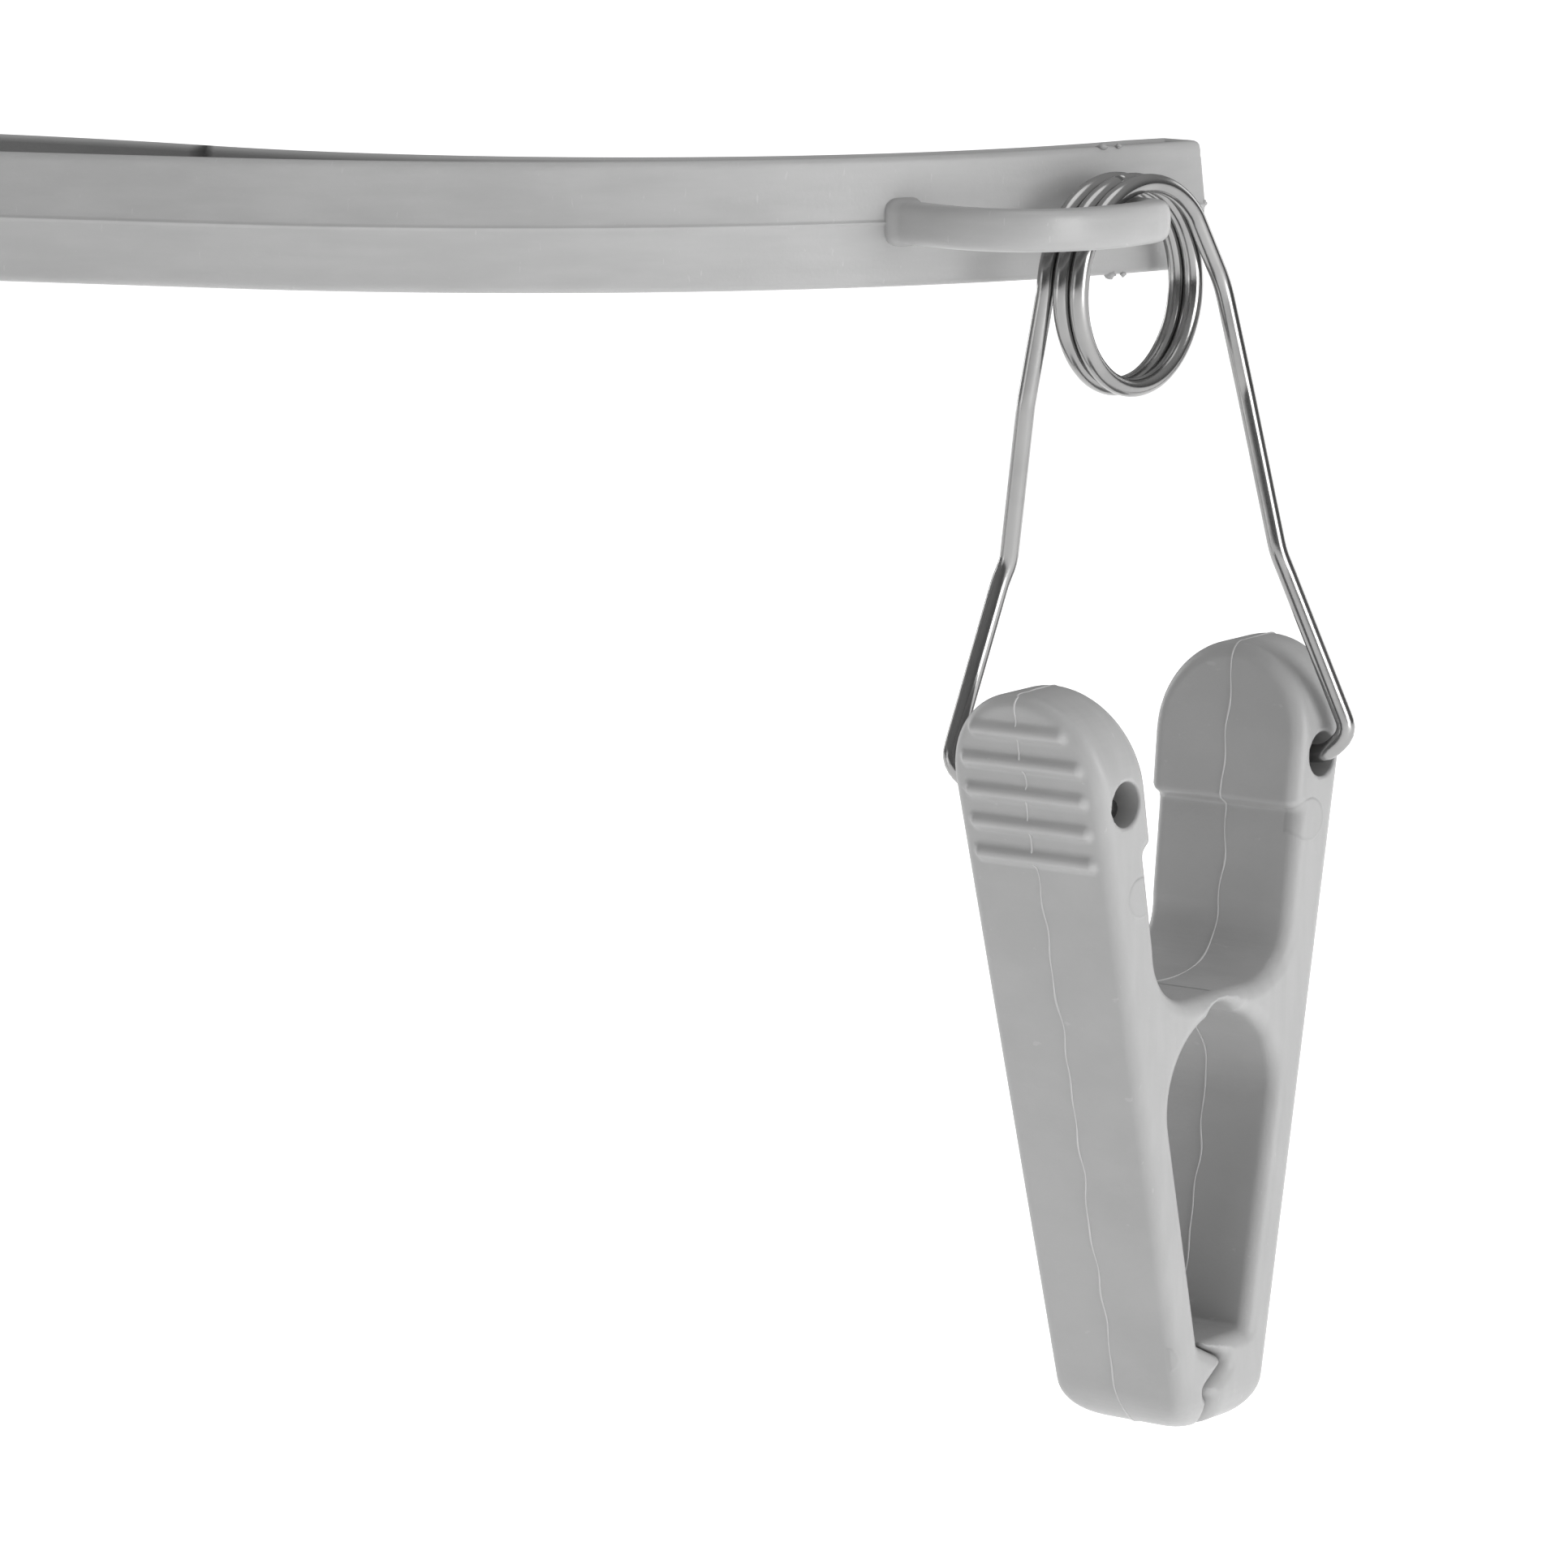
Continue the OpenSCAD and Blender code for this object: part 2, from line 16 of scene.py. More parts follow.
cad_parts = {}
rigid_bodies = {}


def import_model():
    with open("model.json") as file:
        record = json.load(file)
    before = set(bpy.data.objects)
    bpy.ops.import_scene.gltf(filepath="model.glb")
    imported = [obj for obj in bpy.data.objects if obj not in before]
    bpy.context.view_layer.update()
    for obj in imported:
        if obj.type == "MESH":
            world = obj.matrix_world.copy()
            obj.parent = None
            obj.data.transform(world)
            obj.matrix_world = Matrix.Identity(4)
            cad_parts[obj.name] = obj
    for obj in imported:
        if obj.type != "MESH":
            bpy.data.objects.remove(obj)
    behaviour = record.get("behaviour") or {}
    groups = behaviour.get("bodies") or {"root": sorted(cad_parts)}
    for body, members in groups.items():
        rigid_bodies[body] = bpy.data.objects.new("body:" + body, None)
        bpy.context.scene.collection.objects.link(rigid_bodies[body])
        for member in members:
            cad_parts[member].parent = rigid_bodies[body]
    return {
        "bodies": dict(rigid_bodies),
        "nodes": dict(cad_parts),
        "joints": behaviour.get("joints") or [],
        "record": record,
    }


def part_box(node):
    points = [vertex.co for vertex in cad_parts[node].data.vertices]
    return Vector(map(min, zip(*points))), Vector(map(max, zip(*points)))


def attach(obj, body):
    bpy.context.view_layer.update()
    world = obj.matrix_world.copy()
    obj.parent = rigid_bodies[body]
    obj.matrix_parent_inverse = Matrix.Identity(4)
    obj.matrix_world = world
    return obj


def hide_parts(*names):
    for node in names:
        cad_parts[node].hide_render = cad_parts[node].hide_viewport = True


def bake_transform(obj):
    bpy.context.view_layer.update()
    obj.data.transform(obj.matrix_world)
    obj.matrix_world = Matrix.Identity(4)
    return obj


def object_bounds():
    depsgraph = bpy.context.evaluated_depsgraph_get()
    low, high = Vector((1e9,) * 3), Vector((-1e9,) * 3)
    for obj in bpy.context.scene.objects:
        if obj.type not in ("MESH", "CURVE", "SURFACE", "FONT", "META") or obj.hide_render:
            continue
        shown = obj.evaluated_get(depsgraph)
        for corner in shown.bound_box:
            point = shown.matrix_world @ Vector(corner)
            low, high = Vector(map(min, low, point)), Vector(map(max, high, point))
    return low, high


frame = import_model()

CAD_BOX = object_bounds()
MM = 0.001
joints = {joint["name"]: joint for joint in frame["joints"]}
PEG_COUNT = sum(name.endswith("_swing") for name in joints)
ARM_COUNT = PEG_COUNT // 2
print("CAD box in mm:", [[round(1000 * x, 1) for x in corner] for corner in CAD_BOX])
print(ARM_COUNT, "arms and", PEG_COUNT, "pegs")

# %% [markdown]
# ## Shader maths as Python
# A finish is easier to read as a formula than as a web of nodes. `Signal` wraps one socket of a node tree, and
# its operators add Math nodes, so `0.4 + 0.1 * grain` is a network. `Finish` is one material with a Principled
# shader, or the sky; its `node` method makes any other node. Constants are written straight onto the shader's
# sockets.

# %% Signal and Finish
class Signal:
    """A socket in a finish's node tree, with Python's operators."""

    def __init__(self, finish, socket):
        self.finish = finish
        self.socket = socket

    def maths(self, operation, *values):
        return self.finish.node("ShaderNodeMath", {"operation": operation}, dict(enumerate(values)))

    def __add__(self, other):
        return self.maths("ADD", self, other)

    __radd__ = __add__

    def __sub__(self, other):
        return self.maths("SUBTRACT", self, other)

    def __rsub__(self, other):
        return self.maths("SUBTRACT", other, self)

    def __mul__(self, other):
        return self.maths("MULTIPLY", self, other)

    __rmul__ = __mul__


class Finish:
    """One material or sky: its shader, and the nodes that vary it over the surface."""

    def __init__(self, name, sky=False, **constants):
        self.material = (bpy.data.worlds if sky else bpy.data.materials).new(name)
        self.material.use_nodes = True
        self.tree = self.material.node_tree
        self.shader = self.tree.nodes["Background" if sky else "Principled BSDF"]
        for socket, value in constants.items():
            self.shader.inputs[socket.replace("_", " ")].default_value = value

    def node(self, kind, settings=None, sockets=None, output=0):
        """Adds a node, sets its settings, then gives its sockets values or links, and returns one output."""
        made = self.tree.nodes.new(kind)
        for name, value in (settings or {}).items():
            if name == "stops":
                for stop, (place, grey) in zip(made.color_ramp.elements, value):
                    stop.position = place
                    stop.color = (grey, grey, grey, 1)
            else:
                setattr(made, name, value)
        for name, value in (sockets or {}).items():
            socket = made.inputs[name]
            if isinstance(value, Signal):
                self.tree.links.new(value.socket, socket)
            elif socket.type == "RGBA":
                socket.default_value = (*value, 1)
            else:
                socket.default_value = value
        return Signal(self, made.outputs[output])

    def vary(self, socket, signal):
        """Lets a signal drive one of the shader's sockets."""
        self.tree.links.new(signal.socket, self.shader.inputs[socket])

    def place(self, stretch=(1, 1, 1)):
        """The piece's own coordinates, in metres, stretched along each axis."""
        here = self.node("ShaderNodeTexCoord", output="Object")
        return self.node("ShaderNodeVectorMath", {"operation": "MULTIPLY"}, {0: here, 1: stretch})

    def noise(self, vector, scale, detail=2.0):
        return self.node("ShaderNodeTexNoise", None, {"Vector": vector, "Scale": scale, "Detail": detail}, "Fac")

    def between(self, signal, low, high):
        """0 below low, 1 above high, and a smooth step between."""
        settings = {"interpolation_type": "SMOOTHSTEP"}
        return self.node("ShaderNodeMapRange", settings, {"Value": signal, "From Min": low, "From Max": high})

    def blend(self, factor, first, second):
        """Mixes two colours by a signal."""
        return self.node("ShaderNodeMix", {"data_type": "RGBA"}, {0: factor, 6: first, 7: second}, output=2)

    def bump(self, height, depth_mm):
        """A bump whose height signal, from 0 to 1, stands for the given depth."""
        sockets = {"Height": height, "Strength": 1.0, "Distance": depth_mm * MM}
        return self.node("ShaderNodeBump", None, sockets)


print("Signal has", sum(name.startswith("__") for name in vars(Signal)), "special methods")

# %% [markdown]
# ## Grey polypropylene
# Moulded polypropylene is satin, not flat: the skin keeps the steel tool's fine grain, the melt leaves soft
# streaks of lighter and darker grey, and use leaves small bright scratches. Each of those is one noise in the
# piece's own coordinates, from clouds a centimetre wide down to grain finer than a millimetre.

# %% Plastic finishes
def grey(level):
    return (level, level, level)


def plastic(name, level, roughness=0.42, streak=(1, 1, 1), marks=()):
    """Satin grey plastic. marks are (x, z, radius) of ejector pin marks on a peg's front, in mm."""
    finish = Finish(name, IOR=1.49, Specular_IOR_Level=0.45)
    here = finish.place()
    cloud = finish.noise(here, 70, 3)
    flow = finish.noise(finish.place(streak), 160, 4)
    grain = finish.noise(here, 3200, 2)
    orange = finish.noise(here, 700, 2)
    scratch = finish.between(finish.noise(finish.place((9, 1, 1.6)), 420, 6), 0.685, 0.72)
    shade = finish.between(0.55 * cloud + 0.45 * flow, 0.36, 0.66)
    colour = finish.blend(shade, grey(level * 0.955), grey(level * 1.045))
    colour = finish.blend(0.22 * scratch, colour, grey(min(1, level * 1.5)))
    height = 0.6 * orange + 0.4 * grain
    if marks:
        depth = finish.node("ShaderNodeSeparateXYZ", None, {"Vector": here}, "Y")
        on_front = finish.between(-1 * depth, 5.6 * MM, 6.0 * MM)
    for x, z, radius in marks:
        step = finish.node("ShaderNodeVectorMath", {"operation": "SUBTRACT"},
                           {0: finish.place((1, 0, 1)), 1: (x * MM, 0, z * MM)})
        away = finish.node("ShaderNodeVectorMath", {"operation": "LENGTH"}, {0: step}, "Value")
        disc = on_front * (1 - finish.between(away, (radius - 0.12) * MM, (radius + 0.12) * MM))
        rim = finish.between(away, (radius - 0.35) * MM, radius * MM) * disc
        colour = finish.blend(0.5 * rim + 0.10 * disc, colour, grey(level * 0.86))
        height = height + 1.6 * disc
    finish.vary("Base Color", colour)
    finish.vary("Roughness", roughness + 0.10 * (shade - 0.5) + 0.12 * (grain - 0.5))
    finish.vary("Normal", finish.bump(height, 0.035))
    return finish.material


ARM_GREY = 0.37
PEG_GREY = 0.37
arm_plastic = plastic("arm_polypropylene", ARM_GREY, 0.40, streak=(1, 1, 6))
hub_plastic = plastic("hub_polypropylene", ARM_GREY, 0.44)
hook_plastic = plastic("hook_polypropylene", ARM_GREY, 0.42, streak=(1, 1, 4))
peg_plastic = plastic("peg_polypropylene", PEG_GREY, 0.43, streak=(6, 1, 1),
                      marks=[(-7.2, -28.5, 1.3), (-11.2, 10.0, 1.6), (11.3, 12.6, 1.7)])
# The parting line's paler grey (0.50 against 0.37) is painted light: it paints in the light that thin flash lets
# through.
painted_light_seam_plastic = plastic("parting_line", 0.50, 0.45)
print("plastics:", [m.name for m in bpy.data.materials])

# %% [markdown]
# ## Bright steel wire
# Spring wire is drawn through a die, so its polish carries fine lines along its length, and bends scuff it. The
# tubes below carry a UV map with u along the wire and v round it: noise stretched along u is the drawn grain.
# Metal shows only what it mirrors, so most of its look comes from the lights.

# %% Metal finishes
def drawn_steel(name, level, roughness, lines=(60, 9)):
    """Polished wire with fine lines along u of its UV map."""
    finish = Finish(name, Metallic=1.0)
    uv = finish.node("ShaderNodeUVMap", {"uv_map": "wire"})
    stretched = finish.node("ShaderNodeVectorMath", {"operation": "MULTIPLY"}, {0: uv, 1: (*lines, 1)})
    drawn = finish.noise(stretched, 1.0, 4)
    patches = finish.noise(finish.place(), 260, 3)
    colour = finish.blend(drawn, grey(level * 0.86), (level * 1.02, level * 1.01, level))
    colour = finish.blend(0.5 * finish.between(patches, 0.45, 0.75), colour, grey(level * 0.72))
    finish.vary("Base Color", colour)
    finish.vary("Roughness", roughness + 0.16 * (drawn - 0.5) + 0.12 * (patches - 0.5))
    finish.vary("Normal", finish.bump(drawn, 0.006))
    return finish.material


def plated_steel(name, level):
    """Zinc plate: pale, a little cloudy and finely pitted."""
    finish = Finish(name, Metallic=1.0)
    cloud = finish.noise(finish.place(), 420, 4)
    finish.vary("Base Color", finish.blend(cloud, grey(level * 0.8), (level, level * 1.01, level * 1.03)))
    finish.vary("Roughness", 0.24 + 0.22 * cloud)
    finish.vary("Normal", finish.bump(finish.noise(finish.place(), 2600, 2), 0.012))
    return finish.material


wire_steel = drawn_steel("spring_wire", 0.34, 0.20)
screw_steel = plated_steel("zinc_plate", 0.62)

# %% [markdown]
# ## Outlines and sweeps
# Almost every piece is either an outline with rounded corners or a section carried along a line. `fillet` rounds
# the corners of a line of points, `smooth` passes a soft curve through listed points, and `sweep` builds
# the skin between sections, with a frame that never turns about the line, so the wire's grain doesn't twist.

# %% Lines of points
def turn(angle):
    """The direction at an angle round the arm's curve: 0 is straight out of its front face."""
    return np.array((math.sin(math.radians(angle)), -math.cos(math.radians(angle))))


def arc(centre, radius, start, end, steps):
    return [np.array(centre) + radius * turn(start + (end - start) * i / steps) for i in range(steps + 1)]


def fillet(points, radius, steps=4, least=12, closed=True):
    """Rounds each corner that turns by more than least degrees, as far as its sides allow."""
    points = [np.array(p, float) for p in points]
    made = []
    for i, corner in enumerate(points):
        before, after = points[i - 1], points[(i + 1) % len(points)]
        a, b = corner - before, after - corner
        room = 0.45 * min(np.linalg.norm(a), np.linalg.norm(b))
        a, b = a / np.linalg.norm(a), b / np.linalg.norm(b)
        bend = math.acos(max(-1, min(1, float(a @ b))))
        if bend < math.radians(least) or (not closed and i in (0, len(points) - 1)):
            made.append(corner)
            continue
        back = min(room, radius * math.tan(bend / 2))
        first, last = corner - back * a, corner + back * b
        for k in range(steps + 1):
            t = k / steps
            made.append((1 - t) ** 2 * first + 2 * t * (1 - t) * corner + t * t * last)
    return np.array(made)


def smooth(points, steps):
    """A Catmull-Rom curve through the points."""
    p = np.array(points, float)
    p = np.vstack([2 * p[0] - p[1], p, 2 * p[-1] - p[-2]])
    t = np.arange(steps)[:, None] / steps
    made = []
    for a, b, c, d in zip(p, p[1:], p[2:], p[3:]):
        made.append(0.5 * (2 * b + (c - a) * t + (2 * a - 5 * b + 4 * c - d) * t**2
                           + (3 * b - a - 3 * c + d) * t**3))
    return np.vstack(made + [p[-2:-1]])


def along(points):
    """The distance from a line's start to each of its points."""
    steps = np.linalg.norm(np.diff(points, axis=0), axis=1)
    return np.concatenate([[0], np.cumsum(steps)])


def eased(share):
    """0 to 1 with a soft start and end."""
    share = np.clip(share, 0, 1)
    return share * share * (3 - 2 * share)


def evenly(points, gap, closed=False):
    """The same line with its points about gap apart."""
    p = np.array(points, float)
    if closed:
        p = np.vstack([p, p[:1]])
    length = along(p)
    count = max(2, round(length[-1] / gap))
    at = np.linspace(0, length[-1], count + 1)[: count if closed else None]
    return np.stack([np.interp(at, length, p[:, k]) for k in range(p.shape[1])], 1)


# %% Meshes
def new_object(name, data):
    """A new object in the scene."""
    made = bpy.data.objects.new(name, data)
    bpy.context.scene.collection.objects.link(made)
    return made


def piece(name, points, faces, material, normals=None):
    """A smooth mesh object. The points are in millimetres."""
    mesh = bpy.data.meshes.new(name)
    mesh.from_pydata((np.asarray(points, float) * MM).tolist(), [], [list(map(int, f)) for f in faces])
    mesh.validate()
    mesh.polygons.foreach_set("use_smooth", [True] * len(mesh.polygons))
    mesh.materials.append(material)
    if normals is not None:
        mesh.normals_split_custom_set_from_vertices(np.asarray(normals, float).tolist())
    return new_object(name, mesh)


def copy_of(original, name, matrix):
    """The same mesh in another place."""
    made = new_object(name, original.data)
    made.matrix_world = matrix
    return made


def with_modifiers(made):
    """The mesh that a piece's modifiers make of it."""
    return bpy.data.meshes.new_from_object(made.evaluated_get(bpy.context.evaluated_depsgraph_get()))


def finish_piece(made, body, slot, *nodes):
    """Rides on a body and stands for CAD nodes, whose parts it hides; slot is not used."""
    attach(made, body)
    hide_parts(*nodes)
    return made


def ring(half_w, half_h, power=2.0, count=24):
    """A section from round (power 2) to nearly square (power 6)."""
    a = np.arange(count) * 2 * np.pi / count
    round_section = np.stack([np.cos(a), np.sin(a)], 1)
    return (half_w, half_h) * np.sign(round_section) * np.abs(round_section) ** (2 / power)


def skin(rings, count, wrap=False):
    """Quads between rings of count points each. wrap joins the last ring to the first."""
    faces = []
    for i in range(rings if wrap else rings - 1):
        here, there = i * count, (i + 1) % rings * count
        for k in range(count):
            after = (k + 1) % count
            faces.append((here + k, here + after, there + after, there + k))
    return faces


def cross_directions(line, side):
    """Two directions across a line at each of its points, starting from a chosen side direction."""
    heading = np.gradient(line, axis=0)
    heading /= np.linalg.norm(heading, axis=1)[:, None]
    across = []
    n = np.array(side, float)
    for h in heading:
        n = n - (n @ h) * h
        n /= np.linalg.norm(n)
        across.append(n)
    return across, np.cross(heading, across)


def sweep(line, sections, side):
    """Points and faces of a closed skin: one section for each point of the line, and flat ends."""
    line = np.array(line, float)
    across, up = cross_directions(line, side)
    points = [p + s[:, :1] * a + s[:, 1:] * b for p, s, a, b in zip(line, sections, across, up)]
    count = len(sections[0])
    ends = [range(count - 1, -1, -1), range((len(line) - 1) * count, len(line) * count)]
    return np.vstack(points), skin(len(line), count) + ends


def joined(*parts):
    """Several (points, faces) as one."""
    points, faces, start = [], [], 0
    for p, f in parts:
        points.append(p)
        faces += [[start + i for i in face] for face in f]
        start += len(p)
    return np.vstack(points), faces


print("outlines, sweeps and meshes ready")

# %% [markdown]
# ## Where the arms are
# Every arm is the same moulding turned about the swivel. Its frame has X along the straight root and its mid-plane
# at zero height. The first arm's direction and the height come from the packed frame, so nothing is fitted by eye.

# %% Arm frames
ROOT_W = 20.0
HANG_OUT = 4.8
ROOT_HANG = 88.0
arm_low, arm_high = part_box("arm_1")
ARM_Z = 0.5 * (arm_low.z + arm_high.z)
ARM_H = (arm_high.z - arm_low.z) / MM
root_pivot = joints["peg_2_swing"]["pos_m"]
ARM_DIR = math.atan2(root_pivot[1], root_pivot[0]) + math.atan2(ROOT_W / 2 + HANG_OUT, ROOT_HANG)
arm_angles = [ARM_DIR + k * math.tau / ARM_COUNT for k in range(ARM_COUNT)]
arm_frames = [Matrix.Translation((0, 0, ARM_Z)) @ Matrix.Rotation(angle, 4, "Z") for angle in arm_angles]
print("arms' mid-plane at", round(ARM_Z / MM, 2), "mm, first arm at", round(math.degrees(ARM_DIR), 2), "degrees")

# %% [markdown]
# ## The arm's channel
# The real arm is an open channel above and below a middle web, so that it is stiff with thin walls. Its plan is a
# horn: a straight root that swells, then an outer and an inner curve that meet at a narrow tip. The skin is one
# profile carried round the plan's edge: each row of it is the plan moved inwards by an inset, at a height. Moulded
# walls lean in from the parting line at mid-height so that they leave the tool, and their rims are round.

# %% The arm's plan and profile
BEND_AT = 149.0
OUTER_R = 75.8
INNER_R = 52.6
INNER_SHIFT = 12.8
BEND_W = 10.9
SWEEP_DEG = 63.6
TIP_T = 5.0
SWELL_FROM = 20.3
ROOT_START = 11.0
POCKET_START = 39.0
POCKET_INSET = 1.35
outer_c = np.array((BEND_AT, OUTER_R - ROOT_W / 2))
inner_c = outer_c + (INNER_SHIFT, BEND_W - OUTER_R + math.sqrt(INNER_R**2 - INNER_SHIFT**2))
swell_cos = math.cos(math.radians(SWELL_FROM))
swell_r = (ROOT_W / 2 - inner_c[1] + INNER_R * swell_cos) / (1 - swell_cos)
swell_c = inner_c - (INNER_R + swell_r) * np.array((math.sin(math.radians(SWELL_FROM)), swell_cos))


def on_arm(angle, out):
    return outer_c + (OUTER_R + out) * turn(angle)


def arm_plan(inset, start):
    side = ROOT_W / 2 - inset
    outer_edge = arc(outer_c, OUTER_R - inset, 0, SWEEP_DEG - math.degrees(inset / OUTER_R), 90)
    inner_tip = outer_edge[-1] - (TIP_T - 2 * inset) * turn(SWEEP_DEG)
    inner_end = math.degrees(math.atan2(inner_tip[0] - inner_c[0], inner_c[1] - inner_tip[1]))
    corners = [np.array((start, side)), np.array((start, -side)), *outer_edge, inner_tip,
               *arc(inner_c, INNER_R + inset, inner_end - 4, -SWELL_FROM, 80),
               *arc(swell_c, swell_r - inset, 180 - SWELL_FROM, 180, 24)]
    return fillet(corners, max(0.3, 0.75 - inset * 0.45), steps=5, least=25)


def channel_profile():
    """Insets and heights from the web up the inside, over the rim and down to the parting line."""
    top = ARM_H / 2
    inside = [(2.15, 0.80), (1.80, 0.83), (1.60, 0.98), (1.53, 1.25), (1.40, top - 0.55)]
    rim = [(0.90 + 0.50 * math.cos(a), top - 0.50 + 0.50 * math.sin(a)) for a in np.linspace(0, np.pi, 9)]
    face = [(0.37, top - 0.75), (0.36, top - 1.15), (0.32, top - 1.5), (0.10, 0.30), (0.05, 0.12), (-0.04, 0.05)]
    return inside + rim + face


half = channel_profile()
profile = [(inset, z) for inset, z in half] + [(inset, -z) for inset, z in reversed(half)]
rows = []
for inset, z in profile:
    plan = arm_plan(inset, inset + (POCKET_START if inset > POCKET_INSET else ROOT_START))
    rows.append(np.column_stack([plan, np.full(len(plan), z)]))
count = len(rows[0])
webs = [range(count), range((len(rows) - 1) * count, len(rows) * count)]
channel = (np.vstack(rows), skin(len(rows), count) + webs)
print("channel:", len(rows), "rows of", count, "points")

# %% [markdown]
# ## The loops
# Each arm carries two loops moulded in one piece with it: a flat bar that bows out from the wall and comes back
# on a round leg, where the peg's coil hangs. A swept section is the natural way: it turns from nearly square on
# the bar to round on the leg, and it flares a little where it meets the wall, as a mould's fillet does.

# %% Loops
LOOP_OUT = 8.35
LOOP_BOW = 3.3
LOOP_LEN = 17.0
TIP_HANG = 54.0
LOOP_SINK = 0.8
BAR_HALF_T = 1.2
LOOP_HALF_H = 1.66
LEG_LEN = 10.6
LEG_BLEND = 3.6
FLARE_REACH = 1.2
bow_shares = [(0.0, 0.0), (0.10, 0.32), (0.30, 0.78), (0.51, 1.0), (0.70, 0.8), (0.85, 0.0)]
loop_line = [(share * LOOP_LEN, LOOP_OUT + bow * LOOP_BOW) for share, bow in bow_shares]
loop_line += [(0.95 * LOOP_LEN, LOOP_OUT / 2), (LOOP_LEN, -LOOP_SINK)]


def loop(to_plan):
    """One loop as a swept skin. to_plan turns (back along the arm, out of its face) into the arm's plan."""
    back_part = smooth(loop_line[1:], 8)[::-1]
    corner = fillet([back_part[-1], loop_line[0], (0, -LOOP_SINK)], 1.7, steps=8, least=5, closed=False)
    flat = evenly(np.vstack([back_part[:-1], corner]), 0.35)
    length = along(flat)
    to_leg = eased((length - (length[-1] - LEG_LEN)) / LEG_BLEND)
    foot = np.clip(1 - flat[:, 1] / FLARE_REACH, 0, 1) ** 2
    half_t = BAR_HALF_T + to_leg * (LOOP_HALF_H - BAR_HALF_T) + 0.5 * foot
    sections = [ring(w, LOOP_HALF_H + 0.25 * f, 3.4 - 1.3 * t, 28) for w, t, f in zip(half_t, to_leg, foot)]
    line = np.array([(*to_plan(back, out), 0) for back, out in flat])
    return sweep(line, sections, np.cross((0, 0, 1), line[1] - line[0]))


def crumb(place, size, seed):
    """A burr: a small broken-off flake left where the melt came in."""
    random = np.random.default_rng(seed)
    points, faces = sweep(np.array([(x, 0, 0) for x in np.linspace(-1, 1, 7)]),
                          [ring(w, w, 2, 8) for w in (0.15, 0.6, 0.9, 1.0, 0.8, 0.5, 0.1)], (0, 1, 0))
    return np.array(place) + points * np.array(size) * random.uniform(0.75, 1.25, points.shape), faces


tip_loop = loop(lambda back, out: on_arm(TIP_HANG - math.degrees(back / OUTER_R), out))
root_loop = loop(lambda back, out: (ROOT_HANG - back, -ROOT_W / 2 - out))
top = ARM_H / 2
burrs = [(55.2, -0.6, top + 0.02, (0.5, 0.35, 0.28)),
         (56.4, -0.5, top, (0.3, 0.3, 0.2)),
         (55.9, -0.7, -top, (0.45, 0.3, 0.4)),
         (56.9, -0.6, -top, (0.25, 0.25, 0.25)),
         (SWEEP_DEG - 0.25, -0.1, 0.1, (0.18, 0.18, 0.3))]
crumbs = [crumb((*on_arm(angle, out), z), size, seed) for seed, (angle, out, z, size) in enumerate(burrs)]
arm_mesh = joined(channel, tip_loop, root_loop, *crumbs)
print("one arm:", len(arm_mesh[0]), "points")

# %% Place the arms
first_arm = piece("arm_1_moulding", *arm_mesh, arm_plastic)
first_arm.matrix_world = arm_frames[0]
arms = [first_arm] + [copy_of(first_arm, f"arm_{k + 1}_moulding", arm_frames[k]) for k in range(1, ARM_COUNT)]
for k, arm in enumerate(arms, 1):
    finish_piece(arm, "dryer", "arm_plastic", f"arm_{k}")
print("arms placed:", [arm.name for arm in arms])

# %% [markdown]
# ## The pegs' levers
# A peg is one moulding: two levers and a thin web that bends. Its edges are all softly round, and its handles
# carry ridges, a pad and a hole. Bevelling such a crossing of two outlines by modifiers leaves pinched corners.
# It is cleaner to write the solid as a distance field: the front outline meets the side outline with a rounded
# edge, ridges are added and the hole is taken away. A surface net then turns the field into quads, and each point
# slides exactly onto the field's zero, with the field's own slope as its normal.

# %% Distance fields
def outline_distance(outline, x, y):
    """Signed distance to a closed outline, negative inside, on arrays of any shape."""
    least = np.full(np.broadcast(x, y).shape, 1e9)
    crossings = np.zeros(least.shape, bool)
    for (ax, ay), (bx, by) in zip(outline, np.roll(outline, -1, axis=0)):
        ex, ey = bx - ax, by - ay
        wx, wy = x - ax, y - ay
        t = np.clip((wx * ex + wy * ey) / (ex * ex + ey * ey), 0, 1)
        least = np.minimum(least, (wx - t * ex) ** 2 + (wy - t * ey) ** 2)
        above = (ay <= y) != (by <= y)
        side = (ex * wy - ey * wx > 0) == (by > ay)
        crossings ^= above & side
    return np.where(crossings, -1, 1) * np.sqrt(least)


def both(a, b, radius):
    """Where two fields overlap, with a round edge."""
    outside = np.hypot(np.maximum(a + radius, 0), np.maximum(b + radius, 0))
    return np.minimum(np.maximum(a, b), -radius) + outside


def either(a, b, radius):
    """Two fields together, with a small fillet where they meet."""
    share = np.clip(0.5 + 0.5 * (b - a) / radius, 0, 1)
    return b + (a - b) * share - radius * share * (1 - share)


